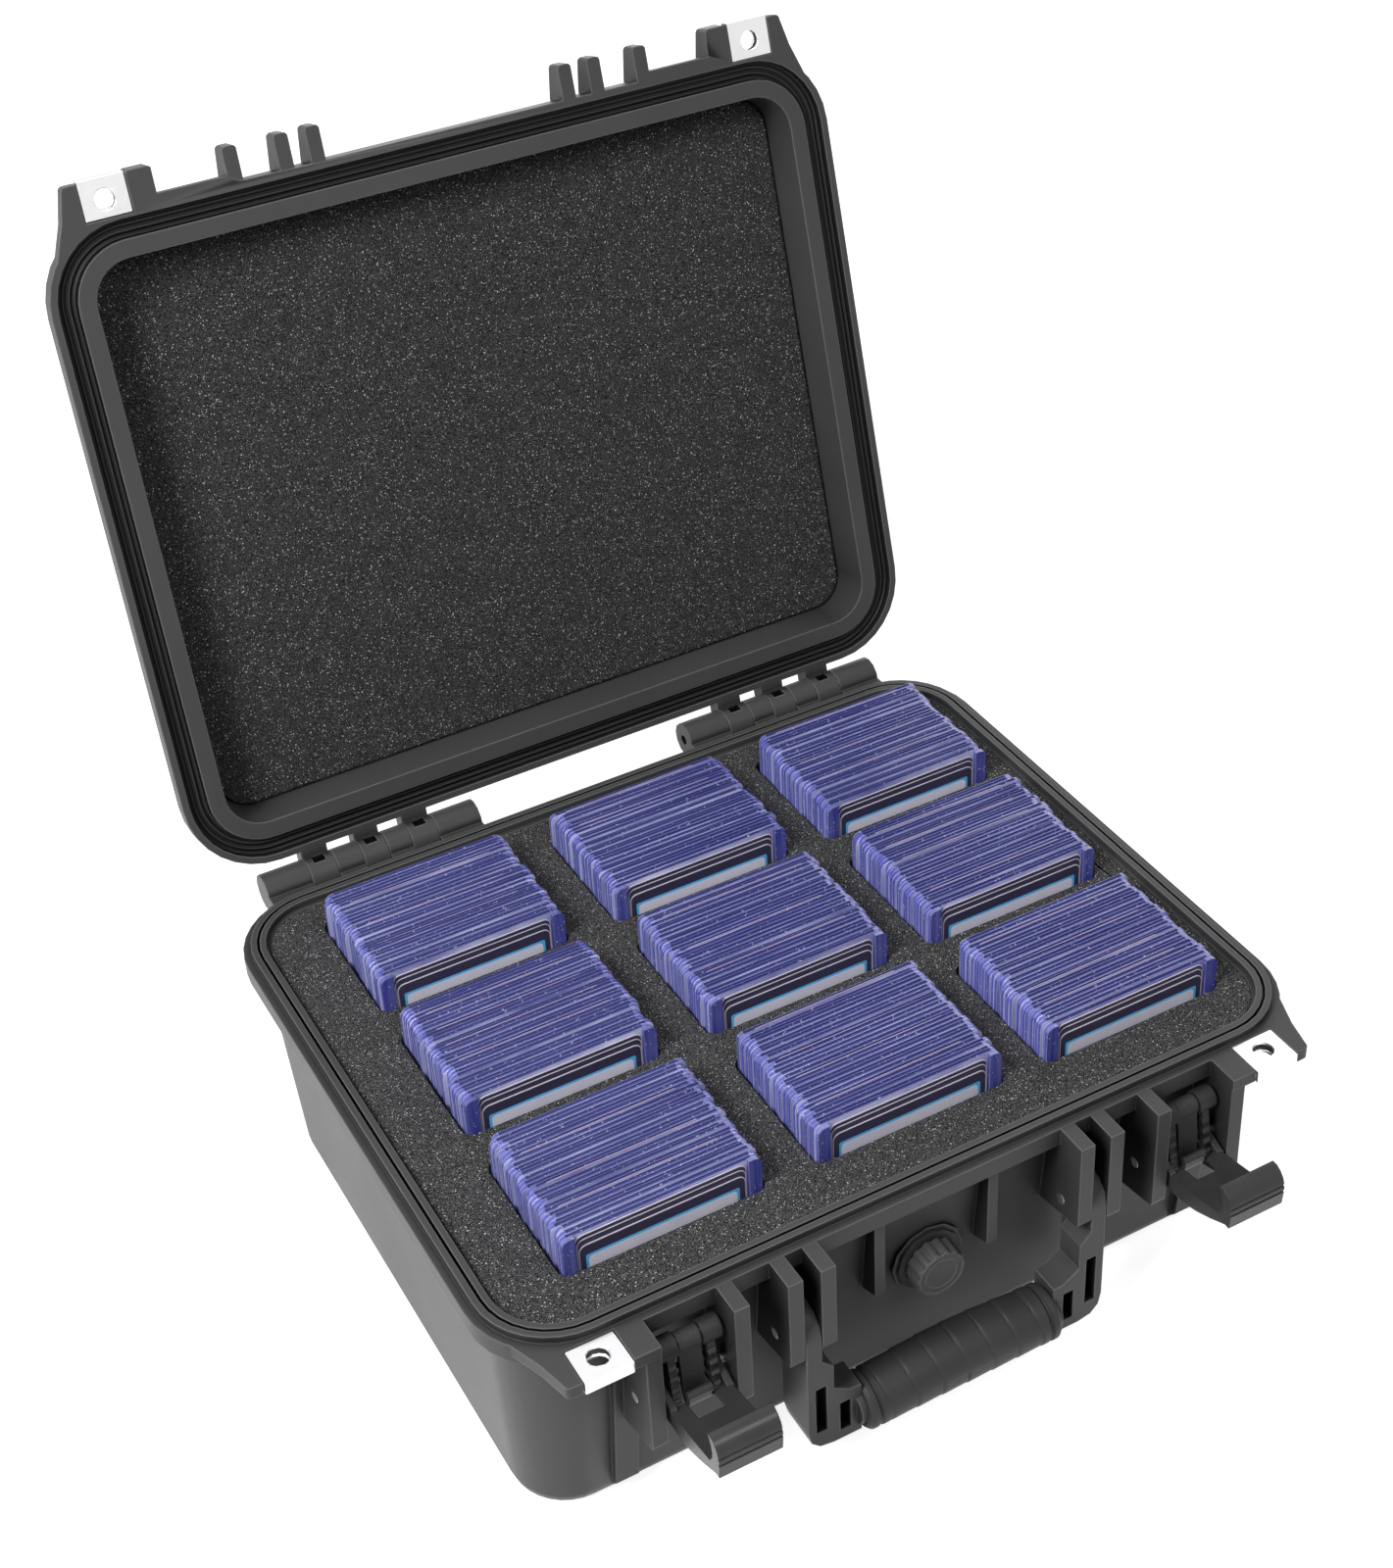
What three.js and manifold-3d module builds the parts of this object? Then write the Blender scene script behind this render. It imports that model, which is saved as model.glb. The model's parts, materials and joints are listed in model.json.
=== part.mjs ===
// Latched hard case for card sleeves, shown open with nine stacks of sleeves in its foam.
// Millimetres. X right along the front, Y towards the hinges, Z up.
// The origin is the middle of the base's underside.
import * as THREE from 'three';
import Module from 'manifold-3d';
import { mergeVertices } from 'three/addons/utils/BufferGeometryUtils.js';

const wasm = await Module();
wasm.setup();

// Sleeve stacks: three columns by three rows, with foam webs between them and margins round them
const sleeveWidth = 76.2;
const sleeveTall = 101.6;
const sleevePitch = 1.92;
const sleevesPerStack = 30;
const sleeveSlit = 0.4;
const sleeveSlitDepth = 5;
const sleeveProud = 14.4;
const leftMargin = 29.6;
const leftWeb = 22.4;
const rightWeb = 19.6;
const rightMargin = 16.6;
const frontMargin = 24.9;
const frontWeb = 18.7;
const backWeb = 17.6;
const backMargin = 18.4;

// Running and seating clearances
const seatGap = 0.3;
const overrun = 2;
const weldDistance = 0.0001;

// Gasket and foam
const gasketThickness = 1.9;
const foamSideGap = 0.5;
const basePadThickness = 9.7;
const insertBelowRim = 1;
const pocketGap = 1.6;
const pocketRadius = 4;
const lidFoamClear = 3;

// Base shell; the sealing line seen from above holds the sleeves, and outlines are offsets from it
const wallThickness = 3.5;
const floorThickness = 3.5;
const sealRadius = 26.9;
const sideLean = 4.8;
const frontLean = 10.7;
const wallOutside = -0.3;
const bottomRound = 8;
const flangeOutside = 6.1;
const flangeHeight = 7.7;
const ridgeHeight = 2.9;
const ridgeWidth = 2.4;
const outerRidgeOutside = 2.9;
const innerRidgeOutside = -0.6;
const stackDepth = sleevePitch * sleevesPerStack;
const sealHalfX = (leftMargin + leftWeb + rightWeb + rightMargin + 3 * sleeveWidth) / 2;
const sealHalfY = (frontMargin + frontWeb + backWeb + backMargin + 3 * stackDepth) / 2;
const baseHeight = floorThickness + basePadThickness + 2 * seatGap + sleeveTall - sleeveProud;

// Lid shell, in its closed place
const matingGap = 0.3;
const lidHeight = 45;
const lidLean = 4.3;
const lidFlangeHeight = 6.9;
const lidHollowOutside = -11;
const lidWall = 4.5;
const lidTopRound = 9;
const lidRoofThickness = 3.5;
const channelOutside = 3.2;
const channelInside = -4.3;
const channelDepth = 5.4;
const lidOpenDegrees = 105;

// Corner tabs and padlock plates, measured in from the side and out from the front
const tabThickness = 5;
const tabFrontIn = 8.6;
const tabFrontOut = 17;
const tabTipIn = 11;
const tabTipOut = 19;
const tabBendShares = [[0.906, 0.289], [0.075, 0.8]];
const plateIn = 14.8;
const plateOut = 20;
const plateWidth = 17.8;
const plateLength = 15.3;
const plateSheet = 1.2;
const plateHoleIn = 8.8;
const plateHoleBack = 8.4;
const plateHoleRadius = 4;
const tongueReach = 2.6;
const plateOuterX = sealHalfX - plateIn;
const plateInnerX = plateOuterX - plateWidth;
const plateFrontY = -sealHalfY - plateOut;
const plateBackY = plateFrontY + plateLength;

// Front ribs of the base, counted inwards from the plates
const ribThickness = 5.8;
const ribOut = 18.6;
const ribToPlate = 4.4;
const latchBay = 27.1;
const middleBayShare = 0.09154;
const armBay = 6.8;
const latchOuterRibLength = 49;
const latchInnerRibLength = 46;
const handleOuterRibLength = 41;
const handleInnerRibLength = 39;
const latchOuterRibDrop = 7;
const ribDrop = 4;
const ribTipRound = 2.4;
const shortRibX = 23.4;
const shortRibThickness = 4.2;
const shortRibOut = 3.7;
const shortRibLength = 44;
const pillarStep = 0.4;
const pillarWidth = 9;
const pillarProud = 3;
const pillarLowZ = 3.5;
const pillarFootRise = 6.5;
const latchOuterRibX = plateInnerX - ribToPlate - ribThickness;
const latchInnerRibX = latchOuterRibX - latchBay - ribThickness;
const handleOuterRibX = latchInnerRibX - sealHalfX * middleBayShare - ribThickness;
const handleInnerRibX = handleOuterRibX - armBay - ribThickness;

// Front ribs of the lid
const lidRibOut = 19.7;
const lidRibTipDepth = 8;
const lidRibFootDepth = 13;
const lidRibRound = 1.6;

// Hinges
const hingeOut = 16.1;
const hingeDrop = 2;
const hingeIn = 15.9;
const hingeLength = 93.5;
const knuckleRadius = 7.5;
const hingePinRadius = 2;
const knuckleGap = 0.3;
const hingeArmHeight = 7.4;
const knuckleEdgeShares = [0, 0.205, 0.329, 0.438, 0.555, 0.675, 0.797, 1];
const hingePinEndInset = 4;
const pinWindowWidth = 5;
const pinWindowDepth = 4.4;
const pinWindowSill = 0.8;
const hingeY = sealHalfY + hingeOut;
const hingeZ = baseHeight - hingeDrop;
const hingeOuterX = sealHalfX - hingeIn;
const hingeInnerX = hingeOuterX - hingeLength;

// Latches, measured from the pivot of the lever: out from the case and up
const latchPivotOut = 7.3;
const latchPivotDrop = 33.2;
const latchPinRadius = 2;
const latchHubRadius = 4.6;
const cheekOuter = 11.8;
const cheekInner = 9.3;
const linkPegOut = 5.5;
const linkPegDown = 4.3;
const linkPegRadius = 1.5;
const linkEyeRadius = 3;
const cheekEyeRadius = 3.2;
const linkLegOuter = 9;
const linkLegInner = 6;
const linkLegHalf = 3;
const barrelOut = 1.5;
const barrelUp = 19.2;
const barrelRadius = 4.5;
const barrelHalf = 11.8;
const barrelSlotHalf = 4.7;
const clawPinRadius = 1.6;
const webThickness = 1.6;
const webBackOut = 0.3;
const webLowUp = -1;
const webHighUp = 8;
const leverRootOut = 9.3;
const leverRootDown = 1.6;
const leverTipOut = 39;
const leverTipUp = 4.6;
const leverThickness = 2.3;
const leverWindowHalf = 5.4;
const leverWindowOut = 18.6;
const bellyFlatOut = 16.5;
const bellyTurnOut = 24;
const bellyTipOut = 42.5;
const bellyTipUp = 2.4;
const lipTopOut = 37.3;
const lipTopUp = 17;
const lipOuterOut = 44.6;
const lipOuterUp = 9;
const lipLowOut = 44;
const lipLowUp = 4.2;
const lipInnerOut = 38;
const lipInnerUp = 5;
const lipGrooveHalf = 0.6;
const lipGrooves = 3;
const clawHalf = 4.2;
const clawEyeRadius = 3.7;
const clawHalfThickness = 1.2;
const clawBackOut = 3;
const clawNeckOut = 1.8;
const clawNeckDown = 5;
const clawBackDown = 13;
const clawTurnDown = 23.8;
const clawTipOut = 7.7;
const clawTipDown = 18.6;
const clawTipRadius = 1.7;
const catchOut = 9.2;
const catchThickness = 2.8;
const catchRelief = 0.8;
const latchX = latchOuterRibX - latchBay / 2;
const latchPivotY = -sealHalfY - latchPivotOut;
const latchPivotZ = baseHeight - latchPivotDrop;
const catchFrontY = -sealHalfY - catchOut;

// Carrying handle, whose outline follows the reach of its arms below the pivot
const handlePivotOut = 7.9;
const handlePivotDrop = 33.1;
const handlePinRadius = 2;
const armSideGap = 0.35;
const armEyeRadius = 10.6;
const armBackReach = 6.9;
const armFootDepth = 8;
const armFootRise = 10;
const bracketDepth = 12;
const bracketStepShare = 0.0795;
const bracketReachShare = 0.2743;
const bracketSlopeShare = 0.1162;
const bracketCornerRound = 10;
const armBottomZ = 12.5;
const armWidenShare = 0.713;
const bracketTopShare = 0.424;
const outerSlotShares = [0.153, 0.56];
const innerSlotShares = [0.081, 0.334];
const outerSlotInShare = 0.0241;
const innerSlotInShare = 0.1957;
const slotWidthShare = 0.0769;
const slotDepth = 6.5;
const gripOut = 15;
const gripRise = 10.3;
const gripRadius = 10.8;
const coreRadius = 7.6;
const armInnerX = handleInnerRibX + ribThickness + armSideGap;
const armOuterX = handleOuterRibX - armSideGap;
const armWideInnerX = armInnerX * (1 - bracketStepShare);
const bracketInnerX = armInnerX * (1 - bracketReachShare);
const handlePivotY = -sealHalfY - handlePivotOut;
const handlePivotZ = baseHeight - handlePivotDrop;
const armReach = handlePivotZ - armBottomZ;
const armWidenZ = armBottomZ + armReach * armWidenShare;
const bracketTopZ = armBottomZ + armReach * bracketTopShare;
const gripY = -sealHalfY - gripOut;
const gripZ = armBottomZ + gripRise;
const gripHalf = bracketInnerX - seatGap;

// Pressure valve
const valveDrop = 44;
const valveFaceIn = 2.4;
const valveBossRadius = 14.5;
const valveSealRadius = 13;
const valveSealThickness = 1.3;
const valveStemRadius = 5.6;
const valveKnobRadius = 10.4;
const valveKnobDepth = 6.4;
const valveKnobFlute = 0.7;
const valveKnobFlutes = 12;
const valveSocketDepth = 3.4;
const valveZ = baseHeight - valveDrop;
const valveFaceY = -sealHalfY + valveFaceIn;

const roundSegments = 4;
const pinSegments = 6;
const smallSegments = 3;
const tinySegments = 2;
const lipSegments = 4;
const fluteSteps = 4;
const along = {
  x: new THREE.Matrix4().makeBasis(
    new THREE.Vector3(0, 1, 0), new THREE.Vector3(0, 0, 1), new THREE.Vector3(1, 0, 0)),
  y: new THREE.Matrix4().makeBasis(
    new THREE.Vector3(1, 0, 0), new THREE.Vector3(0, 0, 1), new THREE.Vector3(0, -1, 0)),
  z: new THREE.Matrix4(),
};

// Finishes
const plastic = () => new THREE.MeshStandardMaterial({ color: 0x26272a, roughness: 0.55, metalness: 0 });
const latchPlastic = () => new THREE.MeshStandardMaterial({ color: 0x1d1e20, roughness: 0.42, metalness: 0 });
const foam = () => new THREE.MeshStandardMaterial({ color: 0x303134, roughness: 0.95, metalness: 0 });
const rubber = () => new THREE.MeshStandardMaterial({ color: 0x1a1a1b, roughness: 0.7, metalness: 0 });
const steel = () => new THREE.MeshStandardMaterial({ color: 0xdfe1e3, roughness: 0.3, metalness: 0.9 });
const sleeve = () => new THREE.MeshStandardMaterial({ color: 0x5a5fc0, roughness: 0.2, metalness: 0 });

// Closed geometry to solid and back
function solidOf(geometry) {
  const bare = geometry.clone();
  bare.deleteAttribute('normal');
  bare.deleteAttribute('uv');
  const welded = mergeVertices(bare, weldDistance);
  return new wasm.Manifold(new wasm.Mesh({
    numProp: 3,
    vertProperties: welded.attributes.position.array,
    triVerts: Uint32Array.from(welded.index.array),
  }));
}

function geometryOf(solid) {
  const mesh = solid.getMesh();
  const geometry = new THREE.BufferGeometry();
  geometry.setAttribute('position', new THREE.BufferAttribute(new Float32Array(mesh.vertProperties), 3));
  geometry.setIndex(new THREE.BufferAttribute(new Uint32Array(mesh.triVerts), 1));
  geometry.computeVertexNormals();
  return geometry;
}

const joined = (solids) => solids.reduce((whole, solid) => whole.add(solid));
const without = (solid, cuts) => cuts.reduce((rest, cut) => rest.subtract(cut), solid);

// An outline extruded from one place to another along an axis; y outlines are drawn in X and Z
function slab(shape, axis, from, to, curveSegments = roundSegments) {
  const geometry = new THREE.ExtrudeGeometry(shape, { depth: to - from, bevelEnabled: false, curveSegments });
  geometry.applyMatrix4(along[axis]);
  const start = { x: [from, 0, 0], y: [0, to, 0], z: [0, 0, from] }[axis];
  geometry.translate(...start);
  return solidOf(geometry);
}

function polygon(points) {
  return new THREE.Shape(points.map(([a, b]) => new THREE.Vector2(a, b)));
}

function box(x0, x1, y0, y1, z0, z1) {
  return slab(polygon([[x0, y0], [x1, y0], [x1, y1], [x0, y1]]), 'z', z0, z1);
}

function disc(a, b, radius) {
  const shape = new THREE.Shape();
  shape.absarc(a, b, radius, 0, 2 * Math.PI);
  return shape;
}

function rod(y, z, radius, x0, x1, segments = pinSegments) {
  return slab(disc(y, z, radius), 'x', x0, x1, segments);
}

function roundedRectangle(x0, x1, y0, y1, radius) {
  const shape = new THREE.Shape();
  shape.moveTo(x1, y0 + radius);
  shape.lineTo(x1, y1 - radius);
  shape.absarc(x1 - radius, y1 - radius, radius, 0, Math.PI / 2);
  shape.absarc(x0 + radius, y1 - radius, radius, Math.PI / 2, Math.PI);
  shape.absarc(x0 + radius, y0 + radius, radius, Math.PI, 1.5 * Math.PI);
  shape.absarc(x1 - radius, y0 + radius, radius, 1.5 * Math.PI, 2 * Math.PI);
  return shape;
}

// The sealing line moved outwards by an offset
function sealOutline(offset) {
  const halfX = sealHalfX + offset;
  const halfY = sealHalfY + offset;
  return roundedRectangle(-halfX, halfX, -halfY, halfY, sealRadius + offset);
}

function sealBand(outside, inside, z0, z1) {
  const band = sealOutline(outside);
  band.holes.push(sealOutline(inside));
  return slab(band, 'z', z0, z1);
}

// A block on the sealing outline whose walls step inwards: levels are [z, side inset, front inset]
function leaningBlock(offset, levels) {
  const steps = levels.length - 1;
  const settings = { depth: steps, steps, bevelEnabled: false, curveSegments: roundSegments };
  const geometry = new THREE.ExtrudeGeometry(sealOutline(offset), settings);
  const place = geometry.attributes.position;
  const radius = sealRadius + offset;
  const straightX = sealHalfX - sealRadius;
  const straightY = sealHalfY - sealRadius;
  for (let i = 0; i < place.count; i += 1) {
    const [z, sideInset, frontInset] = levels[Math.round(place.getZ(i))];
    const x = place.getX(i);
    const y = place.getY(i);
    const corner = radius - Math.min(sideInset, frontInset);
    const cornerX = straightX + radius - sideInset - corner;
    const cornerY = straightY + radius - frontInset - corner;
    const outX = Math.max(Math.abs(x) - straightX, 0) / radius;
    const outY = Math.max(Math.abs(y) - straightY, 0) / radius;
    place.setXYZ(i, Math.sign(x) * (cornerX + corner * outX), Math.sign(y) * (cornerY + corner * outY), z);
  }
  return solidOf(geometry);
}

// Inset of a quarter-round edge at a height above the edge
function roundInset(radius, height) {
  return radius - Math.sqrt(radius ** 2 - (radius - height) ** 2);
}

// The base's level at a height, moved inwards by a further inset
function baseLevel(z, inset = 0) {
  const lean = 1 - z / baseHeight;
  return [z, sideLean * lean + inset, frontLean * lean + inset];
}

// The outside of the base's front wall at a height
const wallY = (z) => -(sealHalfY + wallOutside - frontLean * (1 - z / baseHeight));

// Mirrors a list of [x0, x1] spans to both sides
function bothSides(spans) {
  return spans.flatMap(([x0, x1]) => [[x0, x1], [-x1, -x0]]);
}

// Outline of one corner tab, whose slanting edge bends into the side of the flange
function tabOutline(side) {
  const tipY = -sealHalfY - tabTipOut;
  const [frontX, frontY] = [sealHalfX - tabFrontIn, -sealHalfY - tabFrontOut];
  const [sideX, sideY] = [sealHalfX + flangeOutside, -sealHalfY + sealRadius];
  const bends = tabBendShares.flatMap(([inward, along]) => [
    side * (sideX + (frontX - sideX) * inward), frontY + (sideY - frontY) * along]);
  const shape = new THREE.Shape();
  shape.moveTo(side * latchOuterRibX, -sealHalfY);
  shape.lineTo(side * latchOuterRibX, tipY);
  shape.lineTo(side * (sealHalfX - tabTipIn), tipY);
  shape.quadraticCurveTo(side * frontX, tipY, side * frontX, frontY);
  shape.bezierCurveTo(...bends, side * sideX, sideY);
  shape.lineTo(side * (sealHalfX - sealRadius), sideY);
  return shape;
}

// Both corner tabs, whose steel plates sit in pockets and fold round short tongues
function cornerTabs(z0) {
  return [1, -1].map((side) => slab(tabOutline(side), 'z', z0, z0 + tabThickness));
}

function platePockets(z0) {
  return bothSides([[plateInnerX - seatGap, plateOuterX + seatGap]]).map(([x0, x1]) => box(
    x0, x1, plateFrontY - overrun, plateBackY + seatGap, z0 - seatGap, z0 + tabThickness + seatGap));
}

function plateTongues(z0) {
  return bothSides([[plateInnerX, plateOuterX]]).map(([x0, x1]) => box(
    x0, x1, plateBackY - tongueReach, plateBackY + overrun,
    z0 + plateSheet + seatGap, z0 + tabThickness - plateSheet - seatGap));
}

// A steel sheet folded over the front of a corner tab, with the padlock hole through both leaves
function padlockPlate(side, z0) {
  const x0 = side > 0 ? plateInnerX : -plateOuterX;
  const x1 = side > 0 ? plateOuterX : -plateInnerX;
  const block = box(x0, x1, plateFrontY, plateBackY, z0, z0 + tabThickness);
  const inner = box(
    x0 - overrun, x1 + overrun, plateFrontY + plateSheet, plateBackY + overrun,
    z0 + plateSheet, z0 + tabThickness - plateSheet);
  const hole = slab(
    disc(side * (plateOuterX - plateHoleIn), plateFrontY + plateHoleBack, plateHoleRadius), 'z',
    z0 - overrun, z0 + tabThickness + overrun, pinSegments);
  return without(block, [inner, hole]);
}

// One front rib of the base, a plate with a rounded tip whose lower edge drops towards the wall
function baseRib(x0, length, drop) {
  const tipZ = baseHeight - length;
  const frontY = -sealHalfY - ribOut;
  const footY = wallY(tipZ) + overrun;
  const shape = new THREE.Shape();
  shape.moveTo(footY, baseHeight - seatGap);
  shape.lineTo(frontY, baseHeight - seatGap);
  shape.lineTo(frontY, tipZ + ribTipRound);
  shape.quadraticCurveTo(frontY, tipZ, frontY + ribTipRound, tipZ);
  shape.lineTo(footY, tipZ - drop);
  return slab(shape, 'x', x0, x0 + ribThickness, smallSegments);
}

const baseRibPlan = [
  [latchOuterRibX, latchOuterRibLength, latchOuterRibDrop],
  [latchInnerRibX, latchInnerRibLength, ribDrop],
  [handleOuterRibX, handleOuterRibLength, ribDrop],
  [handleInnerRibX, handleInnerRibLength, ribDrop],
];

function baseRibs() {
  return baseRibPlan.flatMap(([x, length, drop]) => [x, -x - ribThickness].map(
    (x0) => baseRib(x0, length, drop)));
}

function shortRibs() {
  const high = baseHeight - flangeHeight / 2;
  const low = baseHeight - shortRibLength;
  const frontY = -sealHalfY - shortRibOut;
  const shape = polygon([
    [wallY(high) + overrun, high], [frontY, high], [frontY, low], [wallY(low) + overrun, low - ribDrop]]);
  return [-shortRibX, shortRibX].map(
    (x) => slab(shape, 'x', x - shortRibThickness / 2, x + shortRibThickness / 2));
}

function pillars() {
  const top = baseHeight - flangeHeight / 2;
  const footZ = pillarLowZ + pillarFootRise;
  const shape = polygon([
    [wallY(top) + overrun, top], [wallY(top) - pillarProud, top],
    [wallY(footZ) - pillarProud, footZ], [wallY(pillarLowZ) + overrun, pillarLowZ],
  ]);
  const inner = latchOuterRibX + pillarStep;
  return bothSides([[inner, inner + pillarWidth]]).map(([x0, x1]) => slab(shape, 'x', x0, x1));
}

// Hinge knuckles take turns along each hinge: even ones belong to the base, odd ones to the lid
function knuckleSpans(parity) {
  const edges = knuckleEdgeShares.map((share) => hingeInnerX + (hingeOuterX - hingeInnerX) * share);
  const spans = edges.slice(1).map((edge, i) => [edges[i] + knuckleGap / 2, edge - knuckleGap / 2]);
  return bothSides(spans.filter((span, i) => i % 2 === parity));
}

function knuckles(parity, armLowZ, armHighZ) {
  return knuckleSpans(parity).flatMap(([x0, x1]) => [
    rod(hingeY, hingeZ, knuckleRadius, x0, x1),
    box(x0, x1, sealHalfY, hingeY, armLowZ, armHighZ),
  ]);
}

const pinBores = () => bothSides([[hingeInnerX - overrun, hingeOuterX - hingePinEndInset + seatGap]]).map(
  ([x0, x1]) => rod(hingeY, hingeZ, hingePinRadius + seatGap, x0, x1));

// Holes through the front ribs for the latch and handle pins
function ribBores() {
  const latchBore = [latchInnerRibX - overrun, latchOuterRibX + ribThickness + overrun];
  const handleBore = [handleInnerRibX - overrun, handleOuterRibX + ribThickness + overrun];
  return [
    ...bothSides([latchBore]).map(
      ([x0, x1]) => rod(latchPivotY, latchPivotZ, latchPinRadius + seatGap, x0, x1)),
    ...bothSides([handleBore]).map(
      ([x0, x1]) => rod(handlePivotY, handlePivotZ, handlePinRadius + seatGap, x0, x1)),
  ];
}

function baseShell() {
  const roundStepShares = [0.15, 0.5, 1];
  const levels = [
    baseLevel(0, bottomRound),
    ...roundStepShares.map((share) => bottomRound * share).map(
      (height) => baseLevel(height, roundInset(bottomRound, height))),
    baseLevel(baseHeight),
  ];
  const cavityRound = bottomRound - wallThickness;
  const cavityTop = baseHeight + ridgeHeight + overrun;
  const cavityLevels = [
    baseLevel(floorThickness, cavityRound),
    baseLevel(floorThickness + cavityRound),
    [cavityTop, 0, 0],
  ];
  const body = joined([
    leaningBlock(wallOutside, levels),
    slab(sealOutline(flangeOutside), 'z', baseHeight - flangeHeight, baseHeight),
    ...[outerRidgeOutside, innerRidgeOutside].map((outside) => sealBand(
      outside, outside - ridgeWidth, baseHeight - overrun, baseHeight + ridgeHeight)),
    ...cornerTabs(baseHeight - tabThickness),
    ...baseRibs(),
    ...shortRibs(),
    ...pillars(),
    ...knuckles(0, baseHeight - flangeHeight, baseHeight - seatGap),
    slab(disc(0, valveZ, valveBossRadius), 'y', valveFaceY, -sealHalfY + frontLean + overrun, pinSegments),
  ]);
  const valveBore = slab(
    disc(0, valveZ, valveStemRadius + seatGap), 'y', valveFaceY - overrun, 0, pinSegments);
  const cavity = leaningBlock(wallOutside - wallThickness, cavityLevels);
  const pockets = platePockets(baseHeight - tabThickness);
  const cut = without(body, [cavity, valveBore, ...pinBores(), ...ribBores(), ...pockets]);
  return joined([cut, ...plateTongues(baseHeight - tabThickness)]);
}

// Lid, modelled closed
const lidLow = baseHeight + matingGap;
const lidTop = baseHeight + lidHeight;

// The lid's level at a height, moved inwards by a further inset
function lidLevel(z, inset = 0) {
  const whole = lidLean * (z - lidLow) / (lidTop - lidLow) + inset;
  return [z, whole, whole];
}

function lidRib(x0, x1) {
  const frontY = -sealHalfY - lidRibOut;
  const wallMiddleY = -sealHalfY - lidHollowOutside - lidWall / 2;
  const shape = polygon([
    [frontY, lidLow], [-sealHalfY, lidLow], [wallMiddleY, lidLow + lidRibFootDepth],
    [-sealHalfY - flangeOutside, lidLow + lidRibFootDepth], [frontY, lidLow + lidRibTipDepth],
  ]);
  const plan = roundedRectangle(x0, x1, frontY, -sealHalfY + lidRibFootDepth, lidRibRound);
  const height = [lidLow - overrun, lidLow + lidRibFootDepth + overrun];
  return slab(shape, 'x', x0, x1).intersect(slab(plan, 'z', ...height, smallSegments));
}

function lidRibs() {
  const spans = [latchInnerRibX, handleOuterRibX, handleInnerRibX].map((x) => [x, x + ribThickness]);
  spans.push([latchOuterRibX, plateInnerX - seatGap]);
  return bothSides(spans).map(([x0, x1]) => lidRib(x0, x1));
}

// The catch that each claw hooks over, between the lid's ribs
function catches() {
  const span = [latchInnerRibX + ribThickness / 2, latchOuterRibX + ribThickness / 2];
  return bothSides([span]).map(
    ([x0, x1]) => box(x0, x1, catchFrontY, -sealHalfY - channelOutside, lidLow, lidLow + catchThickness));
}

function catchReliefs() {
  const span = [latchInnerRibX + ribThickness, latchOuterRibX];
  const faceY = -sealHalfY - flangeOutside;
  return bothSides([span]).map(([x0, x1]) => box(
    x0, x1, catchFrontY - overrun, faceY + catchRelief,
    lidLow + catchThickness, lidLow + lidFlangeHeight + overrun));
}

// Small windows in the lid's knuckles, facing up while the lid stands open, that show the pin
function pinWindows() {
  return knuckleSpans(1).map(([x0, x1]) => {
    const high = knuckleRadius + overrun;
    const cut = new THREE.BoxGeometry(pinWindowWidth, pinWindowDepth, high);
    cut.translate((x0 + x1) / 2, 0, high / 2 + pinWindowSill);
    cut.rotateX(THREE.MathUtils.degToRad(lidOpenDegrees));
    cut.translate(0, hingeY, hingeZ);
    return solidOf(cut);
  });
}

function lidShell() {
  const roundStepShares = [0.35, 0.75];
  const levels = [
    lidLevel(lidLow),
    lidLevel(lidTop - lidTopRound),
    ...roundStepShares.map((share) => lidTopRound * (1 - share)).map(
      (depth) => lidLevel(lidTop - depth, roundInset(lidTopRound, depth))),
    lidLevel(lidTop, lidTopRound),
  ];
  const hollowRound = lidTopRound - lidRoofThickness;
  const hollowTop = lidTop - lidRoofThickness;
  const hollowLevels = [
    [lidLow - overrun, 0, 0],
    lidLevel(hollowTop - hollowRound),
    lidLevel(hollowTop, hollowRound),
  ];
  const body = joined([
    leaningBlock(lidHollowOutside + lidWall, levels),
    slab(sealOutline(flangeOutside), 'z', lidLow, lidLow + lidFlangeHeight),
    ...cornerTabs(lidLow),
    ...lidRibs(),
    ...knuckles(1, lidLow, lidLow + hingeArmHeight),
  ]);
  const channel = sealBand(channelOutside, channelInside, lidLow - overrun, lidLow + channelDepth);
  const hollow = leaningBlock(lidHollowOutside, hollowLevels);
  const relieved = without(body, [...catchReliefs(), ...platePockets(lidLow)]);
  const whole = joined([relieved, ...catches(), ...plateTongues(lidLow)]);
  return without(whole, [hollow, channel, ...pinBores(), ...pinWindows()]);
}

function lidGasket() {
  const top = lidLow + channelDepth - seatGap;
  return sealBand(channelOutside - seatGap, channelInside + seatGap, top - gasketThickness, top);
}

function lidFoamPad() {
  const hollowRound = lidTopRound - lidRoofThickness;
  const low = baseHeight + sleeveProud + lidFoamClear;
  const high = lidTop - lidRoofThickness - seatGap;
  return leaningBlock(lidHollowOutside - foamSideGap, [
    lidLevel(low), lidLevel(high - hollowRound), lidLevel(high, hollowRound)]);
}

// Foam in the base
const padLow = floorThickness + seatGap;
const padHigh = padLow + basePadThickness;
const insertLow = padHigh + seatGap;
const insertHigh = baseHeight - insertBelowRim;
const stackLow = padHigh + seatGap;
const columnStep = (web) => sleeveWidth + web;
const rowStep = (web) => stackDepth + web;
const leftColumnX = -sealHalfX + leftMargin + sleeveWidth / 2;
const frontRowY = -sealHalfY + frontMargin + stackDepth / 2;
const columns = {
  left: leftColumnX,
  middle: leftColumnX + columnStep(leftWeb),
  right: leftColumnX + columnStep(leftWeb) + columnStep(rightWeb),
};
const rows = {
  back: frontRowY + rowStep(frontWeb) + rowStep(backWeb),
  middle: frontRowY + rowStep(frontWeb),
  front: frontRowY,
};

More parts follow.
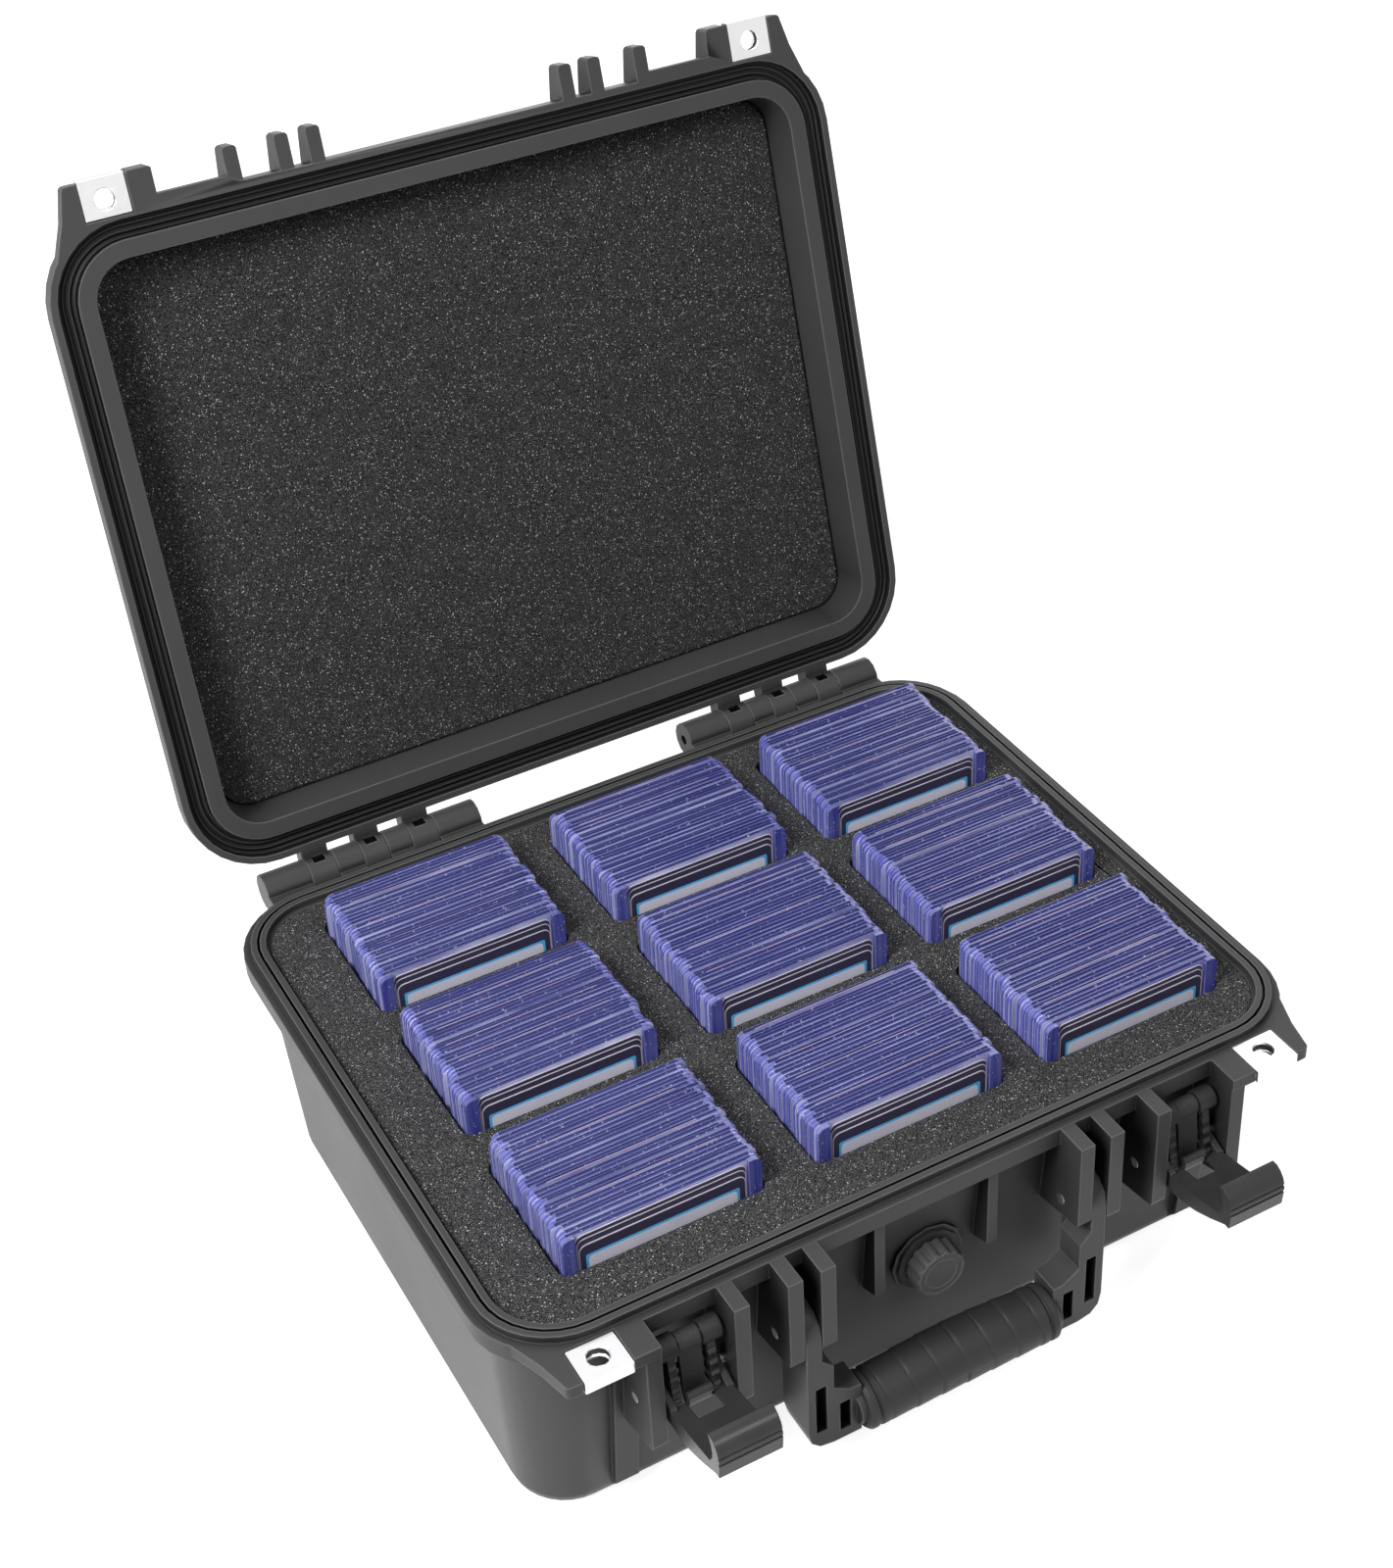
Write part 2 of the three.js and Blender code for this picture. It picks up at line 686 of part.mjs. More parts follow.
function basePad() {
  const cavityRound = bottomRound - wallThickness;
  return leaningBlock(wallOutside - wallThickness - foamSideGap, [
    baseLevel(padLow, cavityRound),
    baseLevel(padHigh),
  ]);
}

function foamInsert() {
  const block = leaningBlock(
    wallOutside - wallThickness - foamSideGap, [baseLevel(insertLow), baseLevel(insertHigh)]);
  const halfX = sleeveWidth / 2 + pocketGap;
  const halfY = stackDepth / 2 + pocketGap;
  const pockets = Object.values(columns).flatMap((x) => Object.values(rows).map((y) => slab(
    roundedRectangle(x - halfX, x + halfX, y - halfY, y + halfY, pocketRadius), 'z',
    insertLow - overrun, insertHigh + overrun, tinySegments)));
  return without(block, pockets);
}

// A stack of sleeves standing on their short edges, with open slits between their tops
function sleeveStack(x, y) {
  const top = stackLow + sleeveTall;
  const start = y - stackDepth / 2;
  const points = [[start, stackLow]];
  for (let i = 0; i < sleevesPerStack; i += 1) {
    const back = start + sleevePitch * i;
    if (i > 0) {
      points.push([back, top - sleeveSlitDepth]);
    }
    points.push([back, top]);
    points.push([back + sleevePitch - sleeveSlit, top]);
    if (i < sleevesPerStack - 1) {
      points.push([back + sleevePitch - sleeveSlit, top - sleeveSlitDepth]);
    }
  }
  points.push([start + stackDepth - sleeveSlit, stackLow]);
  return slab(polygon(points.reverse()), 'x', x - sleeveWidth / 2, x + sleeveWidth / 2);
}

// Latch, placed about its own middle plane
const barrelY = latchPivotY - barrelOut;
const barrelZ = latchPivotZ + barrelUp;
const pegY = latchPivotY - linkPegOut;
const pegZ = latchPivotZ - linkPegDown;

// The same outline on both sides of the latch's middle plane
function pair(shape, inner, outer, segments) {
  return [slab(shape, 'x', inner, outer, segments), slab(shape, 'x', -outer, -inner, segments)];
}

function latchLink(x) {
  const legLean = Math.atan2(barrelZ - pegZ, barrelY - pegY) - Math.PI / 2;
  const sideY = Math.cos(legLean) * linkLegHalf;
  const sideZ = Math.sin(legLean) * linkLegHalf;
  const leg = polygon([
    [pegY - sideY, pegZ - sideZ], [pegY + sideY, pegZ + sideZ],
    [barrelY + sideY, barrelZ + sideZ], [barrelY - sideY, barrelZ - sideZ],
  ]);
  const webBackY = latchPivotY - webBackOut;
  const solids = [
    ...pair(leg, linkLegInner, linkLegOuter),
    ...pair(disc(pegY, pegZ, linkEyeRadius), linkLegInner, linkLegOuter, pinSegments),
    ...pair(disc(pegY, pegZ, linkPegRadius), linkLegInner, cheekOuter - seatGap, pinSegments),
    ...pair(disc(barrelY, barrelZ, barrelRadius), barrelSlotHalf, barrelHalf, pinSegments),
    box(-linkLegOuter, linkLegOuter, webBackY - webThickness, webBackY,
      latchPivotZ + webLowUp, latchPivotZ + webHighUp),
  ];
  const bore = rod(barrelY, barrelZ, clawPinRadius + seatGap, -barrelHalf - overrun, barrelHalf + overrun);
  return joined(solids).subtract(bore).translate([x, 0, 0]);
}

function latchLever(x) {
  const rootY = latchPivotY - leverRootOut;
  const rootZ = latchPivotZ - leverRootDown;
  const tipY = latchPivotY - leverTipOut;
  const tipZ = latchPivotZ + leverTipUp;
  const windowY = latchPivotY - leverWindowOut;
  const plate = polygon([
    [rootY, rootZ], [tipY, tipZ], [tipY, tipZ - leverThickness], [rootY, rootZ - leverThickness]]);
  const lip = new THREE.Shape();
  lip.moveTo(latchPivotY - lipInnerOut, latchPivotZ + lipInnerUp - leverThickness);
  lip.lineTo(latchPivotY - lipInnerOut, latchPivotZ + lipInnerUp);
  lip.quadraticCurveTo(
    latchPivotY - lipOuterOut + leverThickness, latchPivotZ + lipOuterUp,
    latchPivotY - lipTopOut, latchPivotZ + lipTopUp);
  lip.lineTo(latchPivotY - lipTopOut - leverThickness, latchPivotZ + lipTopUp);
  lip.quadraticCurveTo(
    latchPivotY - lipOuterOut, latchPivotZ + lipTopUp - leverThickness,
    latchPivotY - lipOuterOut, latchPivotZ + lipOuterUp);
  lip.lineTo(latchPivotY - lipLowOut, latchPivotZ + lipLowUp - leverThickness);
  const cheek = polygon([
    [latchPivotY, latchPivotZ + latchHubRadius], [rootY - leverThickness, rootZ + leverThickness / 2],
    [rootY - leverThickness, rootZ - leverThickness], [pegY, pegZ - cheekEyeRadius],
    [latchPivotY, latchPivotZ - latchHubRadius],
  ]);
  const bellyZ = pegZ - cheekEyeRadius;
  const belly = new THREE.Shape();
  belly.moveTo(pegY, bellyZ);
  belly.lineTo(rootY, rootZ);
  belly.lineTo(tipY, tipZ);
  belly.lineTo(latchPivotY - bellyTipOut, latchPivotZ + bellyTipUp);
  belly.quadraticCurveTo(
    latchPivotY - bellyTurnOut, bellyZ, latchPivotY - bellyFlatOut, bellyZ);
  const solids = [
    slab(plate, 'x', -cheekOuter, cheekOuter),
    slab(lip, 'x', -cheekOuter, cheekOuter, lipSegments),
    ...pair(cheek, cheekInner, cheekOuter),
    ...pair(belly, cheekInner, cheekOuter),
    ...pair(disc(latchPivotY, latchPivotZ, latchHubRadius), cheekInner, cheekOuter, pinSegments),
    ...pair(disc(pegY, pegZ, cheekEyeRadius), cheekInner, cheekOuter, pinSegments),
  ];
  const cuts = [
    box(-leverWindowHalf, leverWindowHalf, windowY, latchPivotY,
      latchPivotZ - latchHubRadius, latchPivotZ + latchHubRadius),
    rod(latchPivotY, latchPivotZ, latchPinRadius + seatGap, -cheekOuter - overrun, cheekOuter + overrun),
    rod(pegY, pegZ, linkPegRadius + seatGap, -cheekOuter - overrun, cheekOuter + overrun),
  ];
  for (let i = 0; i < lipGrooves; i += 1) {
    const up = latchPivotZ + lipOuterUp + (lipTopUp - lipOuterUp) * (i / lipGrooves) - lipGrooveHalf;
    cuts.push(box(
      -cheekOuter - overrun, cheekOuter + overrun,
      latchPivotY - lipOuterOut - overrun, latchPivotY - lipOuterOut + lipGrooveHalf,
      up - lipGrooveHalf, up + lipGrooveHalf));
  }
  return without(joined(solids), cuts).translate([x, 0, 0]);
}

function latchClaw(x) {
  const out = (distance) => barrelY - distance;
  const down = (distance) => barrelZ - distance;
  const t = clawHalfThickness;
  const hook = new THREE.Shape();
  hook.moveTo(out(clawNeckOut - t), down(0));
  hook.lineTo(out(clawNeckOut + t), down(0));
  hook.lineTo(out(clawNeckOut + t), down(clawNeckDown));
  hook.lineTo(out(clawBackOut + t), down(clawBackDown));
  const turnOut = (clawBackOut + clawTipOut) / 2;
  hook.quadraticCurveTo(
    out(clawBackOut + t), down(clawTurnDown - t), out(turnOut), down(clawTurnDown - t));
  hook.quadraticCurveTo(
    out(clawTipOut - t), down(clawTurnDown - t), out(clawTipOut - t), down(clawTipDown));
  hook.lineTo(out(clawTipOut + t), down(clawTipDown));
  hook.quadraticCurveTo(
    out(clawTipOut + t), down(clawTurnDown + t), out(turnOut), down(clawTurnDown + t));
  hook.quadraticCurveTo(
    out(clawBackOut - t), down(clawTurnDown + t), out(clawBackOut - t), down(clawBackDown));
  hook.lineTo(out(clawNeckOut - t), down(clawNeckDown));
  const solids = [
    slab(hook, 'x', -clawHalf, clawHalf, lipSegments),
    rod(barrelY, barrelZ, clawEyeRadius, -clawHalf, clawHalf),
    rod(out(clawTipOut), down(clawTipDown), clawTipRadius, -barrelSlotHalf, barrelSlotHalf),
  ];
  const bore = rod(barrelY, barrelZ, clawPinRadius + seatGap, -clawHalf - overrun, clawHalf + overrun);
  return joined(solids).subtract(bore).translate([x, 0, 0]);
}

function clawPin(x) {
  return rod(barrelY, barrelZ, clawPinRadius, x - barrelHalf, x + barrelHalf);
}

// The two stub pins of a latch, each through one rib into one cheek of the lever
function latchPins(x) {
  const bayInner = latchX - latchInnerRibX;
  const bayOuter = latchOuterRibX + ribThickness - latchX;
  const reach = { inner: bayInner, outer: bayOuter };
  const side = Math.sign(x);
  return Object.entries(reach).map(([place, length]) => {
    const outward = place === 'outer' ? side : -side;
    const ends = [x + outward * (cheekInner + seatGap), x + outward * length];
    return [place, rod(latchPivotY, latchPivotZ, latchPinRadius, Math.min(...ends), Math.max(...ends))];
  });
}

// Handle
const handleFrontY = handlePivotY - armEyeRadius;

function handleArmOutline() {
  const backY = handlePivotY + armBackReach;
  const shape = new THREE.Shape();
  shape.moveTo(handleFrontY, armBottomZ);
  shape.lineTo(handleFrontY + armFootDepth, armBottomZ);
  shape.quadraticCurveTo(backY, armBottomZ, backY, armBottomZ + armFootRise);
  shape.absarc(handlePivotY, handlePivotZ, armEyeRadius, -Math.acos(armBackReach / armEyeRadius), Math.PI);
  return shape;
}

function bracketOutline(side) {
  const step = armInnerX - armWideInnerX;
  const shape = new THREE.Shape();
  shape.moveTo(side * bracketInnerX, armBottomZ);
  shape.lineTo(side * (armOuterX - bracketCornerRound), armBottomZ);
  shape.quadraticCurveTo(side * armOuterX, armBottomZ, side * armOuterX, armBottomZ + bracketCornerRound);
  shape.lineTo(side * armOuterX, armWidenZ);
  shape.lineTo(side * armInnerX, armWidenZ + step);
  shape.lineTo(side * armWideInnerX, armWidenZ);
  shape.lineTo(side * armWideInnerX, bracketTopZ + step);
  shape.lineTo(side * (armWideInnerX - armInnerX * bracketSlopeShare), bracketTopZ);
  shape.lineTo(side * bracketInnerX, bracketTopZ - seatGap);
  return shape;
}

// What lies outside the round lower corner of the handle
function handleCorner(side) {
  const corner = new THREE.Shape();
  corner.moveTo(side * (armOuterX - bracketCornerRound), armBottomZ);
  corner.quadraticCurveTo(side * armOuterX, armBottomZ, side * armOuterX, armBottomZ + bracketCornerRound);
  corner.lineTo(side * (armOuterX + overrun), armBottomZ + bracketCornerRound);
  corner.lineTo(side * (armOuterX + overrun), armBottomZ - overrun);
  corner.lineTo(side * (armOuterX - bracketCornerRound), armBottomZ - overrun);
  const backY = handlePivotY + armBackReach;
  return slab(corner, 'y', handleFrontY - overrun, backY + overrun, smallSegments);
}

function handleSlots(insetShare, shares) {
  const [low, high] = shares.map((share) => armBottomZ + armReach * share);
  const x0 = armInnerX * (1 - insetShare);
  return bothSides([[x0, x0 + armInnerX * slotWidthShare]]).map(
    ([from, to]) => box(from, to, handleFrontY - overrun, handleFrontY + slotDepth, low, high));
}

function handleFrame() {
  const bracketBackY = handleFrontY + bracketDepth;
  const solids = [
    ...pair(handleArmOutline(), armInnerX, armOuterX),
    slab(bracketOutline(1), 'y', handleFrontY, bracketBackY, smallSegments),
    slab(bracketOutline(-1), 'y', handleFrontY, bracketBackY, smallSegments),
    rod(gripY, gripZ, coreRadius, -bracketInnerX - overrun, bracketInnerX + overrun),
  ];
  const bores = bothSides([[armInnerX - overrun, armOuterX + overrun]]).map(
    ([x0, x1]) => rod(handlePivotY, handlePivotZ, handlePinRadius + seatGap, x0, x1));
  const slots = [
    ...handleSlots(outerSlotInShare, outerSlotShares), ...handleSlots(innerSlotInShare, innerSlotShares)];
  return without(joined(solids), [handleCorner(1), handleCorner(-1), ...slots, ...bores]);
}

function handleGrip() {
  const ring = disc(gripY, gripZ, gripRadius);
  ring.holes.push(disc(gripY, gripZ, coreRadius + seatGap));
  return slab(ring, 'x', -gripHalf, gripHalf, pinSegments * 2);
}

// Pressure valve, along Y through the front wall
function valveBody() {
  const inside = wallY(valveZ + valveStemRadius) + wallThickness;
  const front = valveFaceY - valveSealThickness - seatGap * 2 - valveSocketDepth;
  return slab(disc(0, valveZ, valveStemRadius), 'y', front + seatGap, inside, pinSegments);
}

function valveSeal() {
  const ring = disc(0, valveZ, valveSealRadius);
  ring.holes.push(disc(0, valveZ, valveStemRadius + seatGap));
  const back = valveFaceY - seatGap;
  return slab(ring, 'y', back - valveSealThickness, back, pinSegments);
}

function valveKnob() {
  const back = valveFaceY - valveSealThickness - seatGap * 2;
  const shape = new THREE.Shape();
  const steps = valveKnobFlutes * fluteSteps;
  for (let i = 0; i < steps; i += 1) {
    const turn = (2 * Math.PI * i) / steps;
    const radius = valveKnobRadius - valveKnobFlute * (0.5 - 0.5 * Math.cos(turn * valveKnobFlutes));
    const point = [radius * Math.cos(turn), valveZ + radius * Math.sin(turn)];
    if (i === 0) {
      shape.moveTo(...point);
    } else {
      shape.lineTo(...point);
    }
  }
  const socket = slab(
    disc(0, valveZ, valveStemRadius + seatGap), 'y', back - valveSocketDepth, back + overrun, pinSegments);
  return slab(shape, 'y', back - valveKnobDepth, back).subtract(socket);
}

// Assembly
const group = new THREE.Group();
const lidGroup = new THREE.Group();
lidGroup.position.set(0, hingeY, hingeZ);
lidGroup.rotation.x = -THREE.MathUtils.degToRad(lidOpenDegrees);
group.add(lidGroup);

function place(name, solid, material, parent = group) {
  const shift = parent === lidGroup ? [0, -hingeY, -hingeZ] : [0, 0, 0];
  const mesh = new THREE.Mesh(geometryOf(solid.translate(shift)), material);
  mesh.name = name;
  parent.add(mesh);
}

place('base_shell', baseShell(), plastic());
place('base_foam_pad', basePad(), foam());
place('card_foam_insert', foamInsert(), foam());
place('lid_shell', lidShell(), plastic(), lidGroup);
place('lid_gasket', lidGasket(), rubber(), lidGroup);
place('lid_foam_pad', lidFoamPad(), foam(), lidGroup);

for (const [sideName, side] of [['left', -1], ['right', 1]]) {
  place(`base_padlock_plate_${sideName}`, padlockPlate(side, baseHeight - tabThickness), steel());
  place(`lid_padlock_plate_${sideName}`, padlockPlate(side, lidLow), steel(), lidGroup);
  const pinSpan = [hingeInnerX + hingePinEndInset, hingeOuterX - hingePinEndInset];
  const [pinFrom, pinTo] = side > 0 ? pinSpan : [-pinSpan[1], -pinSpan[0]];
  place(`hinge_pin_${sideName}`, rod(hingeY, hingeZ, hingePinRadius, pinFrom, pinTo), steel());
  const x = side * latchX;
  place(`latch_lever_${sideName}`, latchLever(x), latchPlastic());
  place(`latch_link_${sideName}`, latchLink(x), latchPlastic());
  place(`latch_claw_${sideName}`, latchClaw(x), latchPlastic());
  place(`latch_claw_pin_${sideName}`, clawPin(x), steel());
  for (const [spot, pin] of latchPins(x)) {
    place(`latch_pivot_pin_${sideName}_${spot}`, pin, steel());
  }
  const handleSpan = [handleInnerRibX, handleOuterRibX + ribThickness];
  const [handleFrom, handleTo] = side > 0 ? handleSpan : [-handleSpan[1], -handleSpan[0]];
  const handlePin = rod(handlePivotY, handlePivotZ, handlePinRadius, handleFrom, handleTo);
  place(`handle_pin_${sideName}`, handlePin, steel());
}

place('handle_frame', handleFrame(), plastic());
place('handle_grip', handleGrip(), rubber());
place('valve_body', valveBody(), plastic());
place('valve_seal', valveSeal(), rubber());
place('valve_knob', valveKnob(), plastic());

for (const [rowName, y] of Object.entries(rows)) {
  for (const [columnName, x] of Object.entries(columns)) {
    place(`toploader_stack_${rowName}_${columnName}`, sleeveStack(x, y), sleeve());
  }
}

export default group;
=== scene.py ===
import json
from math import cos, pi, radians, sin
from random import Random

import bmesh
import bpy
from mathutils import Matrix, Vector


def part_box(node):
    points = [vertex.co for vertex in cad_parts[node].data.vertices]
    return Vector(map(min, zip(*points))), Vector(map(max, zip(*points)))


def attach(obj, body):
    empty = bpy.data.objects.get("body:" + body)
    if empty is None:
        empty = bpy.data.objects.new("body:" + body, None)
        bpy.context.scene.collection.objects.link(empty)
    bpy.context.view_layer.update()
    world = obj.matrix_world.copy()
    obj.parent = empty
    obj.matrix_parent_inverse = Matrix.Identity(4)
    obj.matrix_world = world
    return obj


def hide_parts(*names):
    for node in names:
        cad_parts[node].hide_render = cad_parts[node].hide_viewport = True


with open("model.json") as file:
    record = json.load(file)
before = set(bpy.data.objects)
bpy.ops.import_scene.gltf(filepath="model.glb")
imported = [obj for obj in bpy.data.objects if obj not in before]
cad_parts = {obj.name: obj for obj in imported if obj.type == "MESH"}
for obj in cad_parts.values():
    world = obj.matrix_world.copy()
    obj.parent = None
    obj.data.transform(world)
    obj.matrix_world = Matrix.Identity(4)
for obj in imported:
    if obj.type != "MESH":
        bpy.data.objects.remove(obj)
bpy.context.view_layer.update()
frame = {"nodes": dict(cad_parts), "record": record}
mm = 0.001
tiny = 1e-7  # two places closer than this count as one
bodies = frame["record"]["behaviour"]["bodies"]
bodyOf = {node: body for body, nodes in bodies.items() for node in nodes}
print("frame loaded:", len(frame["nodes"]), "solids")


# Finishes

class Value:
    def __init__(self, nodes, socket):
        self.nodes = nodes
        self.socket = socket

    def __add__(self, other):
        return self.nodes.maths("ADD", self, other)

    def __radd__(self, other):
        return self.nodes.maths("ADD", other, self)

    def __sub__(self, other):
        return self.nodes.maths("SUBTRACT", self, other)

    def __rsub__(self, other):
        return self.nodes.maths("SUBTRACT", other, self)

    def __mul__(self, other):
        return self.nodes.maths("MULTIPLY", self, other)

    def __rmul__(self, other):
        return self.nodes.maths("MULTIPLY", other, self)

    def __gt__(self, other):
        return self.nodes.maths("GREATER_THAN", self, other)

    def __lt__(self, other):
        return self.nodes.maths("LESS_THAN", self, other)


class Nodes:
    def __init__(self, tree):
        self.tree = tree
        tree.nodes.clear()

    def node(self, kind, settings, values, output=0):
        made = self.tree.nodes.new(kind)
        for name, setting in settings.items():
            if name == "stops":
                self.setStops(made.color_ramp, setting)
            else:
                setattr(made, name, setting)
        for key, value in values.items():
            if isinstance(value, Value):
                self.tree.links.new(value.socket, made.inputs[key])
            else:
                made.inputs[key].default_value = value
        return Value(self, made.outputs[output]) if made.outputs else None

    def setStops(self, ramp, stops):
        while len(ramp.elements) < len(stops):
            ramp.elements.new(1)
        for element, (position, colour) in zip(ramp.elements, stops):
            element.position = position
            element.color = (*colour, 1)

    def maths(self, operation, *values):
        return self.node("ShaderNodeMath", {"operation": operation}, dict(enumerate(values)))

    def limited(self, value):
        return self.maths("MINIMUM", self.maths("MAXIMUM", value, 0), 1)


class Finish(Nodes):
    def __init__(self, name):
        self.material = bpy.data.materials.new(name)
        self.material.use_nodes = True
        super().__init__(self.material.node_tree)
        self.place = self.node("ShaderNodeTexCoord", {}, {}, "Object")

    def noise(self, scale, detail=2, roughness=0.5, vector=None):
        values = {"Vector": vector or self.place, "Scale": scale, "Detail": detail, "Roughness": roughness}
        return self.node("ShaderNodeTexNoise", {}, values, "Fac")

    def cells(self, scale):
        return self.node("ShaderNodeTexVoronoi", {}, {"Vector": self.place, "Scale": scale}, "Distance")

    def stretched(self, x, y, z):
        return self.node("ShaderNodeMapping", {}, {"Vector": self.place, "Scale": (x, y, z)})

    def axis(self, letter, vector=None):
        return self.node("ShaderNodeSeparateXYZ", {}, {0: vector or self.place}, letter)

    def ramp(self, factor, stops):
        return self.node("ShaderNodeValToRGB", {"stops": stops}, {"Fac": factor})

    def mixed(self, factor, first, second):
        colours = {}
        for key, colour in ((6, first), (7, second)):
            colours[key] = colour if isinstance(colour, Value) else (*colour, 1)
        return self.node("ShaderNodeMix", {"data_type": "RGBA"}, {0: factor, **colours}, 2)

    def bumped(self, height, strength, distance, edge=0.0005):
        rounded = self.node("ShaderNodeBevel", {"samples": 4}, {"Radius": edge})
        values = {"Height": height, "Strength": strength, "Distance": distance, "Normal": rounded}
        return self.node("ShaderNodeBump", {}, values)

    # ambient occlusion of the part itself, used to paint shade into recesses
    def openness(self, distance):
        settings = {"only_local": True, "samples": 6}
        return self.node("ShaderNodeAmbientOcclusion", settings, {"Distance": distance}, "AO")

    # a mask of the rounded edges, used for painted edge highlights
    def edges(self, radius, gain):
        rounded = self.node("ShaderNodeBevel", {"samples": 6}, {"Radius": radius})
        plain = self.node("ShaderNodeNewGeometry", {}, {}, "Normal")
        turned = self.node("ShaderNodeVectorMath", {"operation": "DOT_PRODUCT"}, {0: rounded, 1: plain}, "Value")
        return self.maths("MINIMUM", (1 - turned) * gain, 1)

    def surface(self, values):
        shader = self.node("ShaderNodeBsdfPrincipled", {}, values, "BSDF")
        self.node("ShaderNodeOutputMaterial", {}, {"Surface": shader})
        return self.material


caseLook = {
    "paintedRecessShade": (0.003, 0.003, 0.0032),
    "dark": (0.044, 0.0442, 0.0446),
    "light": (0.064, 0.0642, 0.0648),
    # colour of the painted highlight on rounded edges
    "edge": (0.165, 0.165, 0.167),
    "recessReach": 0.045,
    "recessGain": 1.6,
    "recessStart": 0.5,
    "edgeRadius": 0.0009,
    "edgeHighlightGain": 5,
    "grainScale": 2600,
    "grainDepth": 0.00014,
    "patchScale": 18,
    "roughness": 0.38,
    "specular": 0.13,
}


def casePlastic():
    look = caseLook
    f = Finish("moulded case plastic")
    grain = f.noise(look["grainScale"], 3, 0.6)
    patch = f.noise(look["patchScale"], 4, 0.55)
    # painted shade: recesses and hollows get the near-black recess colour, from the part's own occlusion
    openness = f.limited(look["recessGain"] * f.openness(look["recessReach"]) - look["recessStart"])
    skinWithPaintedShade = f.mixed(openness, look["paintedRecessShade"], f.mixed(patch, look["dark"], look["light"]))
    # painted highlight: rounded edges outside the recesses get the light edge colour
    paintedEdgeHighlight = f.edges(look["edgeRadius"], look["edgeHighlightGain"]) * openness
    return f.surface({
        "Base Color": f.mixed(paintedEdgeHighlight, skinWithPaintedShade, look["edge"]),
        "Roughness": look["roughness"] + 0.14 * (patch - 0.5) + 0.10 * (grain - 0.5),
        "Normal": f.bumped(grain, 0.6, look["grainDepth"], look["edgeRadius"]),
        "Specular IOR Level": look["specular"],
    })


leverLook = {
    "dark": (0.024, 0.0241, 0.0245),
    "light": (0.040, 0.0401, 0.0405),
    "grainScale": 1700,
    "grainDepth": 0.00008,
    "rubScale": 90,
    "roughness": 0.24,
    "specular": 0.26,
}


def leverPlastic():
    look = leverLook
    f = Finish("smooth lever plastic")
    grain = f.noise(look["grainScale"], 3, 0.6)
    rub = f.noise(look["rubScale"], 3, 0.6)
    return f.surface({
        "Base Color": f.mixed(rub, look["dark"], look["light"]),
        "Roughness": look["roughness"] + 0.16 * (rub - 0.5) + 0.10 * (grain - 0.5),
        "Normal": f.bumped(grain, 0.35, look["grainDepth"]),
        "Specular IOR Level": look["specular"],
    })


latchLook = {
    "deep": (0.008, 0.0081, 0.0085),
    "claw": (0.050, 0.050, 0.050),
    "link": (0.030, 0.030, 0.030),
    "grainScale": 1500,
    "ribPitch": 4.6 * mm,
    "ribsBelow": 0.0822,  # height under which the link's legs are ribbed
    "relief": 0.00022,
    "roughness": 0.44,
    "specular": 0.25,
}


def latchPlastic(name, part):
    look = latchLook
    f = Finish(name)
    grain = f.noise(look["grainScale"], 4, 0.7)
    relief = grain * 2.5
    if part == "link":
        height = f.axis("Z")
        ribs = f.maths("SINE", height * (2 * pi / look["ribPitch"])) * (height < look["ribsBelow"])
        relief = grain + 5 * ribs
    return f.surface({
        "Base Color": f.mixed(grain, look["deep"], look[part]),
        "Roughness": look["roughness"] + 0.3 * (grain - 0.5),
        "Normal": f.bumped(relief, 0.8, look["relief"]),
        "Specular IOR Level": look["specular"],
    })


foamLook = {
    "deep": (0.010, 0.010, 0.0103),
    "mid": (0.200, 0.200, 0.201),
    "paintedFoamGlint": (0.62, 0.62, 0.62),
    "shadow": (0.008, 0.008, 0.009),
    "poreScale": 2500,
    "poreDepth": 0.0009,
    "clumpScale": 95,
    "paintedFoamGlintScale": 1000,
    "paintedFoamGlintSize": 0.28,
    "paintedFoamGlintChoice": 1400,
    "paintedFoamGlintShare": 0.57,  # higher leaves fewer painted glints
}


def foamFinish(name, shade):
    look = foamLook
    f = Finish(name)
    pores = f.noise(look["poreScale"], 2, 0.75)
    clumps = f.noise(look["clumpScale"], 3, 0.6)
    # painted glints: small light specks scattered over the foam
    paintedFoamGlints = f.cells(look["paintedFoamGlintScale"]) < look["paintedFoamGlintSize"]
    chosen = f.noise(look["paintedFoamGlintChoice"], 1, 0.5) > look["paintedFoamGlintShare"]
    tone = f.ramp(pores, [(0.45, look["deep"]), (0.62, look["mid"])])
    # painted shade: a lower shade value mixes the foam toward the shadow colour
    toned = f.mixed(shade + 0.3 * (clumps - 0.5), look["shadow"], tone)
    return f.surface({
        "Base Color": f.mixed(paintedFoamGlints * chosen, toned, look["paintedFoamGlint"]),
        "Roughness": 0.95,
        "Normal": f.bumped(pores, 0.9, look["poreDepth"], 0.0008),
        "Specular IOR Level": 0.04,
    })


rubberLook = {"dark": (0.020, 0.0202, 0.021), "dusty": (0.036, 0.0362, 0.037), "grainScale": 1500, "dustScale": 40}


def rubberFinish():
    look = rubberLook
    f = Finish("grip rubber")
    grain = f.noise(look["grainScale"], 4, 0.7)
    dust = f.noise(look["dustScale"], 4, 0.6)
    return f.surface({
        "Base Color": f.mixed(dust, look["dark"], look["dusty"]),
        "Roughness": 0.50 + 0.16 * (grain - 0.5),
        "Normal": f.bumped(grain, 0.6, 0.00016),
        "Specular IOR Level": 0.2,
    })


gasketLook = {
    "groove": (0.004, 0.004, 0.0042),
    "ridge": (0.030, 0.0302, 0.031),
    "ridgePitch": 2.35 * mm,
    "halfX": 0.1584,
    "halfY": 0.1262,
    "radius": 0.0269,
    "hinge": Vector((0, 0.1423, 0.099)),
    "open": radians(105),
}


